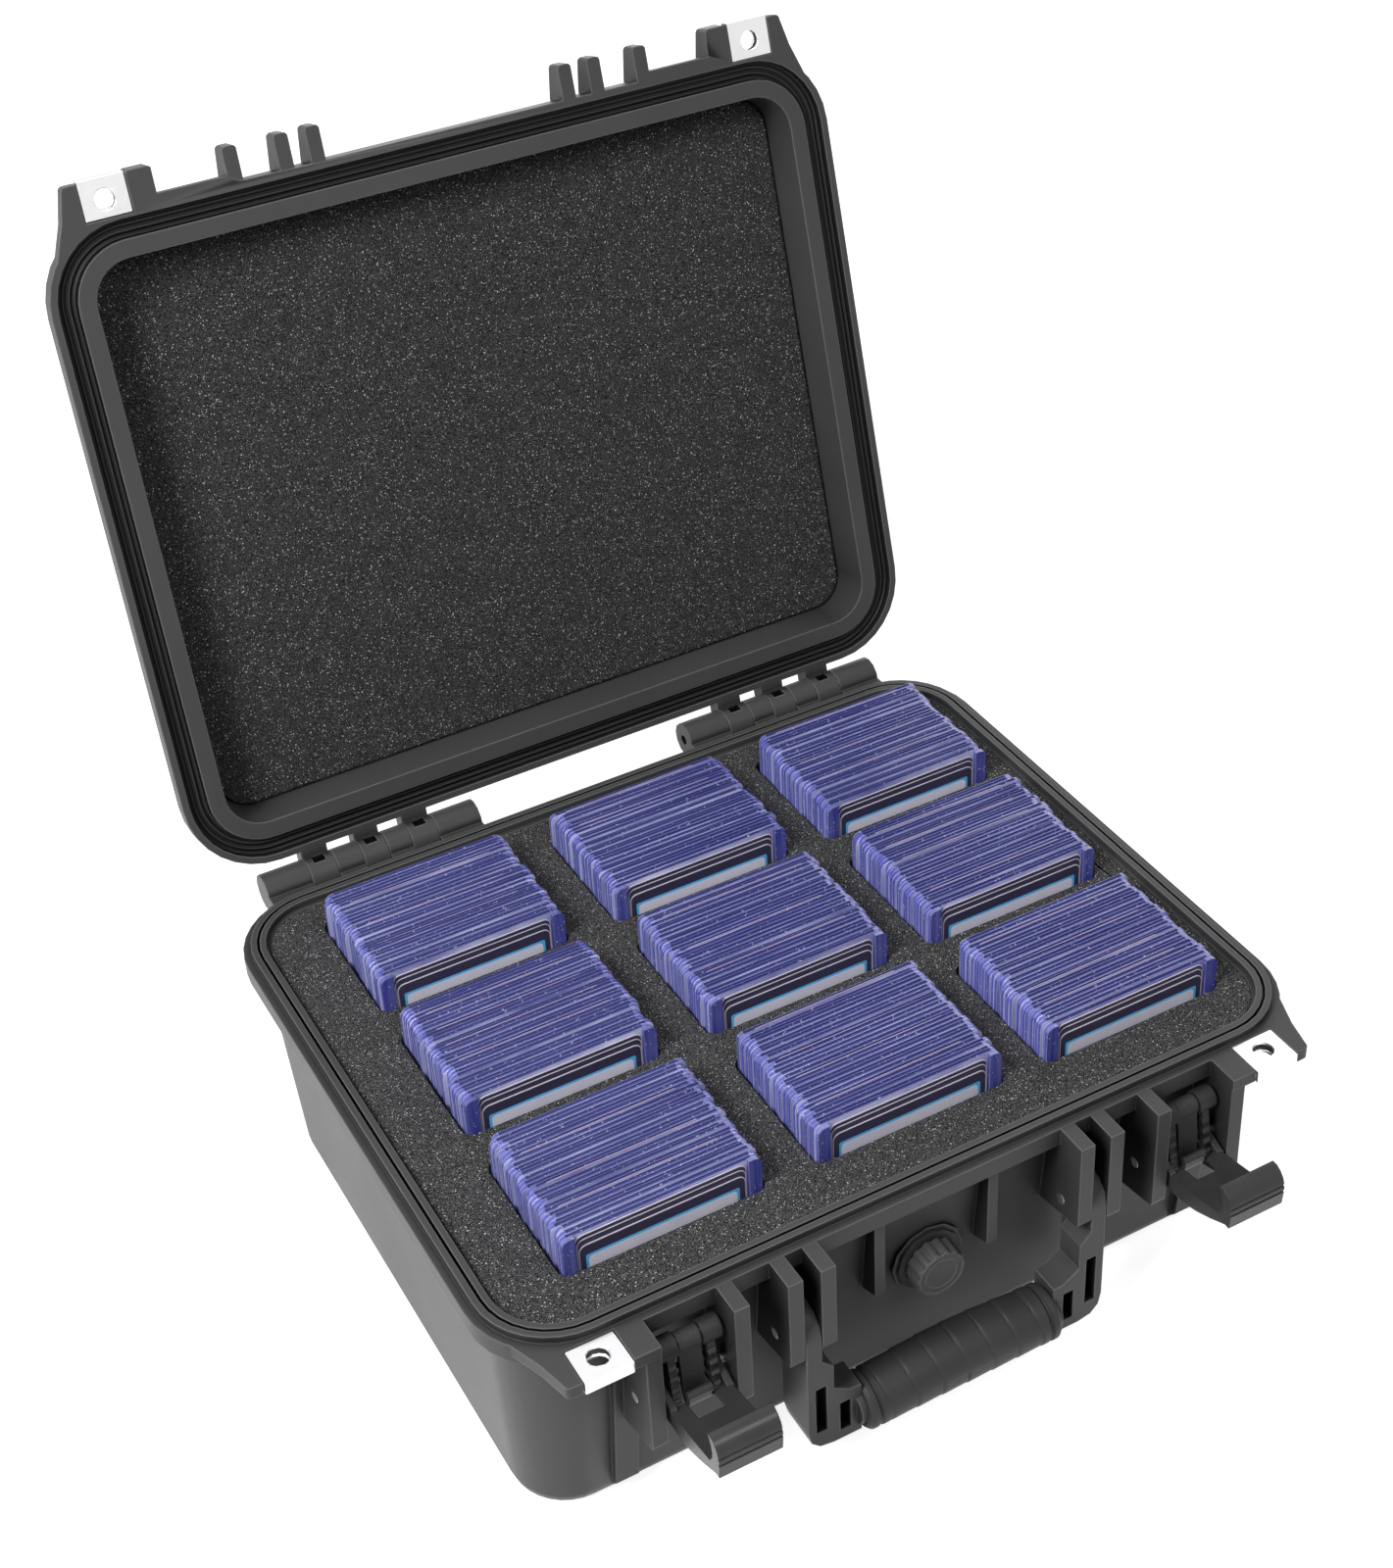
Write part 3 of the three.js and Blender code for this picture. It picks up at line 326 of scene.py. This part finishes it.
def gasketFinish():
    look = gasketLook
    f = Finish("ribbed gasket rubber")
    turn = Matrix.Rotation(look["open"], 3, "X")
    values = {
        "Vector": f.place, "Location": look["hinge"] - turn @ look["hinge"], "Rotation": (look["open"], 0, 0)}
    shut = f.node("ShaderNodeMapping", {}, values)  # the pattern is laid out on the shut lid
    parts = []
    for letter, half in (("X", look["halfX"]), ("Y", look["halfY"])):
        past = f.maths("MAXIMUM", f.maths("ABSOLUTE", f.axis(letter, shut)) - (half - look["radius"]), 0)
        parts.append(past * past)
    outside = f.maths("SQRT", parts[0] + parts[1]) - look["radius"]
    ridges = f.maths("SINE", outside * (2 * pi / look["ridgePitch"]))
    grain = f.noise(1400, 4, 0.7)
    return f.surface({
        # painted shade: the grooves between the ridges get the near-black groove colour
        "Base Color": f.mixed(0.5 + 0.5 * ridges, look["groove"], look["ridge"]),
        "Roughness": 0.5 + 0.2 * (grain - 0.5),
        "Normal": f.bumped(grain * 0.5 + 2.4 * ridges, 0.9, 0.0003),
        "Specular IOR Level": 0.25,
    })


steelLook = {"dull": (0.72, 0.72, 0.73), "bright": (0.82, 0.82, 0.83), "lineScale": 220, "cloudScale": 60}


def steelFinish():
    look = steelLook
    f = Finish("bright steel")
    lines = f.noise(look["lineScale"], 4, 0.65, f.stretched(1, 14, 1))
    cloud = f.noise(look["cloudScale"], 3, 0.5)
    return f.surface({
        "Base Color": f.mixed(cloud, look["dull"], look["bright"]),
        "Metallic": 1,
        "Roughness": 0.30 + 0.16 * (lines - 0.5),
        "Normal": f.bumped(lines, 0.12, 0.00006, 0.0003),
    })


sleeveLook = {
    # near-white colour of the painted edge highlights and painted glints
    "line": (0.86, 0.87, 1.00),
    "body": (0.044, 0.050, 0.290),
    "bodyPale": (0.145, 0.155, 0.490),
    "rim": (0.064, 0.070, 0.262),
    "rimPale": (0.270, 0.285, 0.560),
    "slot": (0.021, 0.024, 0.132),
    "slotPale": (0.064, 0.070, 0.250),
    "streaks": (26, 380, 12),
    "railStreaks": (620, 40, 16),
    "clouds": (30, 160, 30),
    "paintedGlintScale": 850,
    "paintedGlintShare": 0.68,  # higher leaves fewer painted glints
}


def sleevePlastic(name, low, high, lift, lines=0.0, streakSizes=sleeveLook["streaks"]):
    look = sleeveLook
    f = Finish(name)
    streaks = f.noise(1, 3, 0.65, f.stretched(*streakSizes))
    clouds = f.noise(1, 2, 0.5, f.stretched(*look["clouds"]))
    paintedGlint = f.noise(look["paintedGlintScale"], 2, 0.6)
    tone = f.mixed(lift + 1.0 * (streaks - 0.5) + 0.6 * (clouds - 0.5), look[low], look[high])
    across = f.node("ShaderNodeAttribute", {"attribute_name": "across"}, {}, "Fac")
    # painted highlights: near-white lines along each sleeve's front and back edges, scaled by lines, and painted
    # glints over all sleeves
    edge = (f.maths("ABSOLUTE", across - 0.5) > 0.40) * lines
    bright = f.maths("MAXIMUM", edge * (1.7 * streaks - 0.35), (paintedGlint > look["paintedGlintShare"]) * 0.45)
    return f.surface({
        "Base Color": f.mixed(bright, tone, look["line"]),
        "Roughness": 0.22 + 0.2 * (streaks - 0.5),
        "Normal": f.bumped(streaks, 0.15, 0.00020, 0.0002),
        "Specular IOR Level": 0.5,
        "Coat Weight": 0.25,
        "Coat Roughness": 0.12,
    })


clearLook = {"tint": (0.16, 0.17, 0.50, 1), "alpha": 0.03, "hazeAlpha": 0.06, "hazeScale": 50}


def clearSheet():
    look = clearLook
    f = Finish("clear front sheet")
    haze = f.noise(look["hazeScale"], 3, 0.6)
    return f.surface({
        "Base Color": look["tint"],
        "Alpha": look["alpha"] + look["hazeAlpha"] * haze,
        "Roughness": 0.10 + 0.10 * haze,
        "Specular IOR Level": 0.7,
    })


printLook = {
    "dark": (0.022, 0.016, 0.022),
    "rim": (0.74, 0.68, 0.76),
    "edge": (0.42, 0.32, 0.46),
    "blue": (0.10, 0.55, 0.95),
    "pale": (0.93, 0.90, 0.97),
    "fibreScale": 900,
}


def printed(name, tone, variation=0.12):
    look = printLook
    f = Finish(name)
    fibre = f.noise(look["fibreScale"], 3, 0.6)
    darker = tuple(channel * (1 - variation) for channel in look[tone])
    return f.surface({
        "Base Color": f.mixed(fibre, darker, look[tone]),
        "Roughness": 0.42 + 0.1 * (fibre - 0.5),
        "Normal": f.bumped(fibre, 0.1, 0.00003, 0.0001),
    })


finishes = {
    "case": casePlastic(),
    "lever": leverPlastic(),
    "latch": latchPlastic("ribbed latch plastic", "link"),
    "claw": latchPlastic("grained claw plastic", "claw"),
    "gasket": gasketFinish(),
    # both pads are one foam; the lid foam's lower shade value paints shade on it
    "baseFoam": foamFinish("charcoal base foam", 0.85),
    "lidFoam": foamFinish("charcoal lid foam with painted shade", 0.58),
    "rubber": rubberFinish(),
    "steel": steelFinish(),
    # 0.78 is the strength of the painted edge highlights
    "sleeveBody": sleevePlastic("violet sleeve body", "body", "bodyPale", 0.36, 0.78),
    "sleeveRim": sleevePlastic("pale sleeve rim", "rim", "rimPale", 0.30),
    "sleeveFront": sleevePlastic("violet sleeve rail", "body", "rimPale", 0.12, 0, sleeveLook["railStreaks"]),
    "sleeveSlot": sleevePlastic("deep sleeve slot", "slot", "slotPale", 0.40),
    "clear": clearSheet(),
    "cardDark": printed("dark card border", "dark"),
    "cardRim": printed("pale card edge", "rim"),
    "cardEdge": printed("card edge in a sleeve", "edge", 0.4),
    "cardBlue": printed("blue card line", "blue"),
    "cardPale": printed("pale card strip", "pale"),
}
print("finishes made:", len(finishes))


# Making pieces

def addToScene(name, content):
    made = bpy.data.objects.new(name, content)
    bpy.context.scene.collection.objects.link(made)
    return made


def finishPiece(name, bm, finishNames, body, smoothAngle=35):
    for face in bm.faces:
        face.smooth = True
    for edge in bm.edges:
        edge.smooth = edge.calc_face_angle(pi) < radians(smoothAngle)
    mesh = bpy.data.meshes.new(name)
    bm.to_mesh(mesh)
    bm.free()
    for finishName in finishNames:
        mesh.materials.append(finishes[finishName])
    piece = addToScene(name, mesh)
    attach(piece, body)
    return piece


def addBlock(bm, low, high):
    made = bmesh.ops.create_cube(bm, size=1)["verts"]
    low, high = Vector(low), Vector(high)
    bmesh.ops.transform(bm, matrix=Matrix.Diagonal(high - low).to_4x4(), verts=made)
    bmesh.ops.translate(bm, vec=(low + high) / 2, verts=made)
    return made


def roundEdges(bm, edges, radius, segments):
    bmesh.ops.bevel(
        bm, geom=edges, offset=radius, offset_type="OFFSET", affect="EDGES",
        segments=segments, profile=0.5, material=-1, clamp_overlap=True)


dressing = {"weld": 0.000002, "flat": radians(0.4), "bevelOver": radians(40)}


def standFor(node, name, finishName, edge=None):
    bm = bmesh.new()
    bm.from_mesh(frame["nodes"][node].data)
    bmesh.ops.remove_doubles(bm, verts=bm.verts, dist=dressing["weld"])
    bmesh.ops.dissolve_limit(bm, angle_limit=dressing["flat"], verts=bm.verts, edges=bm.edges)
    for face in bm.faces:
        face.material_index = 0
    piece = finishPiece(name, bm, [finishName], bodyOf[node])
    spare = piece.data.attributes.get("custom_normal")
    if spare:
        piece.data.attributes.remove(spare)
    if edge:
        rounding = piece.modifiers.new("edges", "BEVEL")
        rounding.width = edge["width"]
        rounding.segments = edge["segments"]
        rounding.limit_method = "ANGLE"
        rounding.angle_limit = dressing["bevelOver"]
    weight = piece.modifiers.new("normals", "WEIGHTED_NORMAL")
    weight.keep_sharp = True
    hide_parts(node)
    return piece


# Shells, latches and small hard parts

hardParts = {
    "base_shell": "case", "lid_shell": "case", "handle_frame": "case", "valve_body": "case",
    "lid_gasket": "gasket", "valve_seal": "rubber",
}
for side in ("left", "right"):
    hardParts[f"latch_lever_{side}"] = "lever"
    hardParts[f"latch_link_{side}"] = "latch"
    hardParts[f"latch_claw_{side}"] = "claw"
plateEdge = {"width": 0.35 * mm, "segments": 2}
for node, finishName in hardParts.items():
    standFor(node, node + "_dressed", finishName)
for node, solid in frame["nodes"].items():
    if "plate" in node:
        standFor(node, node + "_dressed", "steel", plateEdge)
    elif "pin" in node:
        solid.data.materials.clear()
        solid.data.materials.append(finishes["steel"])
print("hard parts dressed:", len(hardParts))


# Foam

foamParts = {
    "base_foam_pad": {"name": "base_pad_foam", "finish": "baseFoam", "edge": 1.2 * mm, "rise": 0},
    "card_foam_insert": {"name": "pocket_foam", "finish": "baseFoam", "edge": 0.9 * mm, "rise": 0.9 * mm},
    "lid_foam_pad": {"name": "lid_pad_foam", "finish": "lidFoam", "edge": 1.6 * mm, "rise": 0},
}
for node, part in foamParts.items():
    foam = standFor(node, part["name"], part["finish"], {"width": part["edge"], "segments": 3})
    top = max(v.co.z for v in foam.data.vertices)
    for vertex in foam.data.vertices:
        if vertex.co.z > top - 0.1 * mm:
            vertex.co.z += part["rise"]  # cut foam stands a little above its solid
print("foam made")


# Sleeve stacks

stack = {
    "sleeves": 30,
    "thick": 1.86 * mm,
    "cornerRadius": 3.4 * mm,
    "cornerSpread": (0.6, 1.15),
    "wall": 0.24 * mm,
    "slotDepth": 0.7 * mm,
    "slack": 0.8 * mm,
    "drop": 1.2 * mm,
    "lean": 0.35,
    "rail": 5.0 * mm,
    "sheet": 0.25 * mm,
    "frontDrop": 0.4 * mm,
    "cardEvery": (4, 9),
    "cardDrop": 0.35 * mm,
    "cardTall": 4 * mm,
    "cardHalf": 0.18 * mm,
    "cardShort": 4 * mm,
}


def markAcross(mesh, low, high):
    marks = mesh.attributes.new("across", "FLOAT", "POINT")
    for vert in mesh.vertices:
        marks.data[vert.index].value = (vert.co.y - low) / (high - low)


def makeSleeve(low, high, dice):
    bm = bmesh.new()
    addBlock(bm, low, high)
    corners = [
        e for e in bm.edges
        if all(abs(v.co.z - high.z) < tiny for v in e.verts) and abs(e.verts[0].co.x - e.verts[1].co.x) < tiny]
    roundEdges(bm, corners, stack["cornerRadius"] * dice.uniform(*stack["cornerSpread"]), 3)
    topFace = max((f for f in bm.faces if f.normal.z > 0.9), key=lambda f: f.calc_area())
    ring = bmesh.ops.inset_region(bm, faces=[topFace], thickness=stack["wall"], use_even_offset=True)
    for face in ring["faces"]:
        face.material_index = 1
    sunk = bmesh.ops.extrude_discrete_faces(bm, faces=[topFace])["faces"][0]
    bmesh.ops.translate(bm, verts=sunk.verts, vec=(0, 0, -stack["slotDepth"]))
    for vert in sunk.verts:
        for face in vert.link_faces:
            face.material_index = 2
    return bm


def leanOver(bm, low, high, dice):
    turn = Matrix.Rotation(radians(dice.uniform(-1, 1) * stack["lean"]), 4, "Y")
    centre = Vector(((low.x + high.x) / 2, low.y, low.z))
    matrix = Matrix.Translation(centre) @ turn @ Matrix.Translation(-centre)
    bmesh.ops.transform(bm, matrix=matrix, verts=bm.verts)


def makeStack(row, column):
    node = f"toploader_stack_{row}_{column}"
    low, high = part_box(node)
    dice = Random(f"{row} {column}")
    step = (high.y - low.y) / stack["sleeves"]
    whole = bmesh.new()
    nextCard = dice.randint(*stack["cardEvery"])
    for i in range(1, stack["sleeves"]):
        shiftX = dice.uniform(-1, 1) * stack["slack"]
        shiftZ = -dice.random() ** 2 * stack["drop"]
        y = low.y + step * i
        start = Vector((low.x + shiftX, y, low.z))
        end = Vector((high.x + shiftX, y + stack["thick"], high.z + shiftZ))
        single = makeSleeve(start, end, dice)
        if i == nextCard or i < 3:
            cardTop = end.z - (stack["cardDrop"] if i > 2 else card["top"] * 0.5)
            x0, x1 = start.x + card["side"], end.x - card["side"] - dice.uniform(0, 1) * stack["cardShort"]
            middle, half = y + stack["thick"] / 2, stack["cardHalf"]
            addPlate(single, x0, x1, cardTop - stack["cardTall"], cardTop, middle - half, middle + half, 2.5 * mm, 3)
            nextCard = i + dice.randint(*stack["cardEvery"])
        leanOver(single, start, end, dice)
        mesh = bpy.data.meshes.new("sleeve")
        single.to_mesh(mesh)
        single.free()
        markAcross(mesh, start.y, end.y)
        whole.from_mesh(mesh)
        bpy.data.meshes.remove(mesh)
    body = f"stack_{row}_{column}"
    names = ["sleeveBody", "sleeveRim", "sleeveSlot", "cardEdge"]
    piece = finishPiece(f"sleeves_{row}_{column}", whole, names, body, 25)
    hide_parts(node)
    makeFrontSleeve(row, column, low, high, body)


card = {
    "side": 6.2 * mm,
    "top": 6.3 * mm,
    "height": 86 * mm,
    "radius": 3 * mm,
    "rim": 0.35 * mm,
    "border": 2.5 * mm,
    "borderTop": 4.7 * mm,
    "line": 1.0 * mm,
    "lineRadius": 0.8 * mm,
    "strip": 12 * mm,
    "stripRadius": 1.6 * mm,
    "proud": 0.05 * mm,
    "depth": 0.3 * mm,
    "behind": ((0, 0.7 * mm), (2.6 * mm, 1.1 * mm), (4.4 * mm, 1.3 * mm)),  # each card's rise and set-back
    "spread": (0.5 * mm, 0.4 * mm),
}


def addPlate(bm, x0, x1, z0, z1, front, back, radius, materialIndex):
    made = addBlock(bm, (x0, front, z0), (x1, back, z1))
    upright = [e for e in bm.edges if e.verts[0] in made and abs(e.verts[0].co.y - e.verts[1].co.y) > tiny]
    for face in {f for v in made for f in v.link_faces}:
        face.material_index = materialIndex
    roundEdges(bm, upright, radius, 4)


def makeRails(row, column, low, high, body):
    bm = bmesh.new()
    top = high.z - stack["frontDrop"]
    for x0, x1 in ((low.x, low.x + stack["rail"]), (high.x - stack["rail"], high.x)):
        made = addBlock(bm, (x0, low.y, low.z), (x1, low.y + stack["thick"], top))
        outer = [
            e for e in bm.edges
            if e.verts[0] in made and all(
                abs(v.co.z - top) < tiny and min(abs(v.co.x - low.x), abs(v.co.x - high.x)) < tiny for v in e.verts)]
        roundEdges(bm, outer, stack["cornerRadius"] * 0.85, 4)
    for face in bm.faces:
        face.material_index = 1 if face.normal.z > 0.3 else 2 if face.normal.y < -0.5 else 0
    name = f"front_sleeve_rails_{row}_{column}"
    piece = finishPiece(name, bm, ["sleeveBody", "sleeveRim", "sleeveFront"], body, 25)
    markAcross(piece.data, low.y, low.y + stack["thick"])


def makeFrontSleeve(row, column, low, high, body):
    makeRails(row, column, low, high, body)
    bm = bmesh.new()
    inner0, inner1 = low.x + stack["rail"], high.x - stack["rail"]
    addBlock(bm, (inner0, low.y, low.z), (inner1, low.y + stack["sheet"], high.z - stack["frontDrop"]))
    finishPiece(f"front_sleeve_sheet_{row}_{column}", bm, ["clear"], body, 25)
    bm = bmesh.new()
    spreadLeft, spreadRight = card["spread"]
    for k, (raised, setBack) in enumerate(card["behind"]):
        x0, x1 = low.x + card["side"] - k * spreadLeft, high.x - card["side"] + k * spreadRight
        top = high.z - card["top"] + raised
        face = low.y + setBack
        radius, rim, proud = card["radius"], card["rim"], card["proud"]
        addPlate(bm, x0, x1, top - card["height"], top, face, face + card["depth"], radius, 1)
        addPlate(
            bm, x0 + rim, x1 - rim, top - card["height"] + rim, top - rim, face - proud, face + proud, radius - rim, 0)
        if k == 0:
            edge, line, lineTop = card["border"], card["line"], top - card["borderTop"]
            foot = lineTop - card["strip"] - 2 * line
            addPlate(bm, x0 + edge, x1 - edge, foot, lineTop, face - 2 * proud, face, card["lineRadius"], 2)
            edge += line
            addPlate(
                bm, x0 + edge, x1 - edge, foot + line, lineTop - line, face - 3 * proud, face, card["stripRadius"], 3)
    names = ["cardDark", "cardRim", "cardBlue", "cardPale"]
    finishPiece(f"front_card_{row}_{column}", bm, names, body, 25)


for row in ("back", "middle", "front"):
    for column in ("left", "middle", "right"):
        makeStack(row, column)
print("sleeve stacks made")


# Carrying grip

grip = {
    "segments": 64,
    "rings": 150,
    "seams": 7,
    "seamDepth": 0.38 * mm,
    "seamWidth": 0.55 * mm,
    "sweep": 2.4 * mm,
    "step": 0.28 * mm,
    "swell": 2.2 * mm,
    "endRing": 4.2 * mm,
    "ringDepth": 1.2 * mm,
    "ringWidth": 0.8 * mm,
    "endRound": 0.9,
    "bore": 0.72,
}


def gripSink(along, length, up):
    fromEnd = min(along, length - along)
    first = 2 * grip["endRing"]
    space = (length - 2 * first) / (grip["seams"] - 1)
    sweep = grip["sweep"] * max(0, up - 0.1) ** 1.5
    section = (along + sweep - first) / space
    near = abs(section - round(section)) * space
    sink = grip["seamDepth"] * max(0, 1 - near / grip["seamWidth"]) if -0.2 < section < grip["seams"] - 0.8 else 0
    if 0 < section < grip["seams"] - 1:
        sink += grip["step"] * (section % 1)
    depth = grip["ringDepth"]
    sink = max(sink, depth * max(0, 1 - (abs(fromEnd - grip["endRing"]) / grip["ringWidth"]) ** 4))
    sink = max(sink, grip["endRound"] * (depth - fromEnd))
    swell = grip["swell"] * max(0, sin(pi * along / length)) ** 1.5 * max(0, up)
    return sink - swell


def makeGrip():
    low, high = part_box("handle_grip")
    axis = (low + high) / 2
    radius = (high.z - low.z) / 2
    length = high.x - low.x
    bm = bmesh.new()
    ring = bmesh.ops.create_circle(bm, segments=grip["segments"], radius=radius)["verts"]
    bmesh.ops.rotate(bm, verts=ring, cent=(0, 0, 0), matrix=Matrix.Rotation(pi / 2, 3, "Y"))
    bmesh.ops.translate(bm, verts=ring, vec=(low.x, axis.y, axis.z))
    edges = list({e for v in ring for e in v.link_edges})
    for i in range(grip["rings"]):
        grown = bmesh.ops.extrude_edge_only(bm, edges=edges)["geom"]
        ring = [g for g in grown if isinstance(g, bmesh.types.BMVert)]
        edges = [g for g in grown if isinstance(g, bmesh.types.BMEdge)]
        bmesh.ops.translate(bm, verts=ring, vec=(length / grip["rings"], 0, 0))
    for vert in bm.verts:
        turn = vert.co - Vector((vert.co.x, axis.y, axis.z))
        vert.co -= turn.normalized() * gripSink(vert.co.x - low.x, length, turn.z / radius)
    for x in (low.x, high.x):
        rim = [e for e in bm.edges if e.is_boundary and all(abs(v.co.x - x) < 1e-6 for v in e.verts)]
        inner = bmesh.ops.extrude_edge_only(bm, edges=rim)["geom"]
        verts = [g for g in inner if isinstance(g, bmesh.types.BMVert)]
        space = Matrix.Translation(-Vector((x, axis.y, axis.z)))
        bmesh.ops.scale(bm, verts=verts, vec=(1, grip["bore"], grip["bore"]), space=space)
    bores = [e for e in bm.edges if e.is_boundary]
    bmesh.ops.bridge_loops(bm, edges=bores)
    bmesh.ops.recalc_face_normals(bm, faces=bm.faces)
    piece = finishPiece("grip_sleeve", bm, ["rubber"], "handle", 40)
    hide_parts("handle_grip")


makeGrip()
print("grip made")


# Valve knob

knob = {
    "segments": 112,
    "flutes": 14,
    "fluteDepth": 0.9 * mm,
    "face": 9.4 * mm,
    "groove": 6.4 * mm,
    "grooveDepth": 0.25 * mm,
    "reach": 1.5 * mm,
    "bore": 6.2 * mm,
    "faceThick": 4 * mm,
}


def makeKnob():
    low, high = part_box("valve_knob")
    centre = (low + high) / 2
    radius = (high.z - low.z) / 2
    face, groove = knob["face"], knob["groove"]
    front, depth = low.y - knob["reach"], high.y - low.y + knob["reach"]
    sunk, bore, thick = knob["grooveDepth"], knob["bore"], knob["faceThick"]
    profile = [  # radius and depth behind the front face
        (0, sunk), (groove - 0.4 * mm, sunk), (groove - 0.1 * mm, 0.2 * sunk), (groove + 0.1 * mm, 0.2 * sunk),
        (groove + 0.4 * mm, sunk), (face - 0.9 * mm, sunk), (face - 0.6 * mm, 0), (face - 0.25 * mm, 0),
        (face, sunk), (face + 0.5 * mm, 2 * sunk), (radius - 0.1 * mm, 1.6 * mm),
        (radius, depth - 0.3 * mm), (radius - 0.3 * mm, depth), (bore, depth), (bore, thick), (0, thick)]
    bm = bmesh.new()
    verts = [bm.verts.new((centre.x + r, front + back, centre.z)) for r, back in profile]
    edges = [bm.edges.new(pair) for pair in zip(verts, verts[1:])]
    bmesh.ops.spin(
        bm, geom=verts + edges, cent=centre, axis=(0, 1, 0), angle=2 * pi, steps=knob["segments"],
        use_merge=True, use_duplicate=False)
    bmesh.ops.remove_doubles(bm, verts=bm.verts, dist=dressing["weld"])
    for vert in bm.verts:
        turn = vert.co - Vector((centre.x, vert.co.y, centre.z))
        if turn.length > face + 0.4 * mm:
            angle = Vector((1, 0)).angle_signed(Vector((turn.x, turn.z)))
            wave = 0.5 - 0.5 * cos(angle * knob["flutes"])
            vert.co -= turn.normalized() * knob["fluteDepth"] * wave ** 1.5
    bmesh.ops.recalc_face_normals(bm, faces=bm.faces)
    piece = finishPiece("valve_turning_knob", bm, ["case"], "valve_knob", 32)
    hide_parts("valve_knob")


makeKnob()
print("valve knob made")


# Stage, light and camera

studio = {"floor": 9, "floorColour": 0.60, "fill": 0.86, "world": 0.09}


def backgroundRays(nodes):
    camera, glossy, through = (
        nodes.node("ShaderNodeLightPath", {}, {}, name)
        for name in ("Is Camera Ray", "Is Glossy Ray", "Is Transmission Ray"))
    return nodes.maths("MAXIMUM", camera, nodes.maths("MAXIMUM", glossy, through))


def makeFloor():
    f = Finish("pale studio floor")
    shade = studio["floorColour"]
    material = f.surface({
        "Base Color": f.mixed(f.noise(30, 2, 0.5), (shade,) * 3, (shade + 0.01,) * 3),
        "Roughness": 0.9,
        "Specular IOR Level": 0.1,
        "Emission Color": (1, 1, 1, 1),
        "Emission Strength": backgroundRays(f) * studio["fill"],
    })
    bm = bmesh.new()
    bmesh.ops.create_grid(bm, x_segments=2, y_segments=2, size=studio["floor"])
    mesh = bpy.data.meshes.new("studio_floor")
    bm.to_mesh(mesh)
    bm.free()
    mesh.materials.append(material)
    addToScene("studio_floor", mesh)


def makeWorld():
    world = bpy.data.worlds.new("studio")
    bpy.context.scene.world = world
    world.use_nodes = True
    nodes = Nodes(world.node_tree)
    strength = studio["world"] + backgroundRays(nodes) * (1 - studio["world"])
    glow = nodes.node("ShaderNodeBackground", {}, {"Color": (1, 1, 1, 1), "Strength": strength})
    nodes.node("ShaderNodeOutputWorld", {}, {"Surface": glow})


lamps = {
    "key": {"place": (-1.05, -0.42, 1.22), "aim": (-0.1, -0.05, 0.05), "size": 0.5, "watts": 28},
    "top": {"place": (-0.1, 0.3, 1.9), "aim": (0, 0.05, 0.1), "size": 0.7, "watts": 6},
    "front": {"place": (0.2, -1.2, 1.45), "aim": (0, 0, 0.1), "size": 0.6, "watts": 8},
    "back": {"place": (1.1, 1.3, 0.7), "aim": (0, 0.1, 0.15), "size": 2.0, "watts": 14},
}


def makeLamps():
    for name, lamp in lamps.items():
        light = bpy.data.lights.new(name + " softbox", "AREA")
        light.shape = "SQUARE"
        light.size = lamp["size"]
        light.energy = lamp["watts"]
        holder = addToScene(light.name, light)
        holder.location = lamp["place"]
        aim = Vector(lamp["aim"]) - holder.location
        holder.rotation_euler = aim.to_track_quat("-Z", "Y").to_euler()


view = {
    "azimuth": -27.6097,
    "elevation": 34.2927,
    "roll": 2.8371,
    "distance": 1.153475,
    "target": (0.09342, 0.19166, 0.101),
    "lens": 59.0793,
    "shiftX": -0.01355,
    "shiftY": -0.0855,
    "farthest": 60,
}


def makeCamera():
    camera = bpy.data.cameras.new("camera")
    camera.lens = view["lens"]
    camera.sensor_width = 36
    camera.shift_x = view["shiftX"]
    camera.shift_y = view["shiftY"]
    camera.clip_end = view["farthest"]
    holder = addToScene("camera", camera)
    turn = (Matrix.Rotation(radians(view["azimuth"]), 4, "Z")
            @ Matrix.Rotation(radians(90 - view["elevation"]), 4, "X")
            @ Matrix.Rotation(radians(-view["roll"]), 4, "Z"))
    back = turn.to_3x3() @ Vector((0, 0, 1))
    holder.matrix_world = Matrix.Translation(Vector(view["target"]) + back * view["distance"]) @ turn
    bpy.context.scene.camera = holder


makeFloor()
makeWorld()
makeLamps()
makeCamera()
bpy.context.scene.view_settings.view_transform = "Standard"
print("studio made")

bpy.context.view_layer.update()
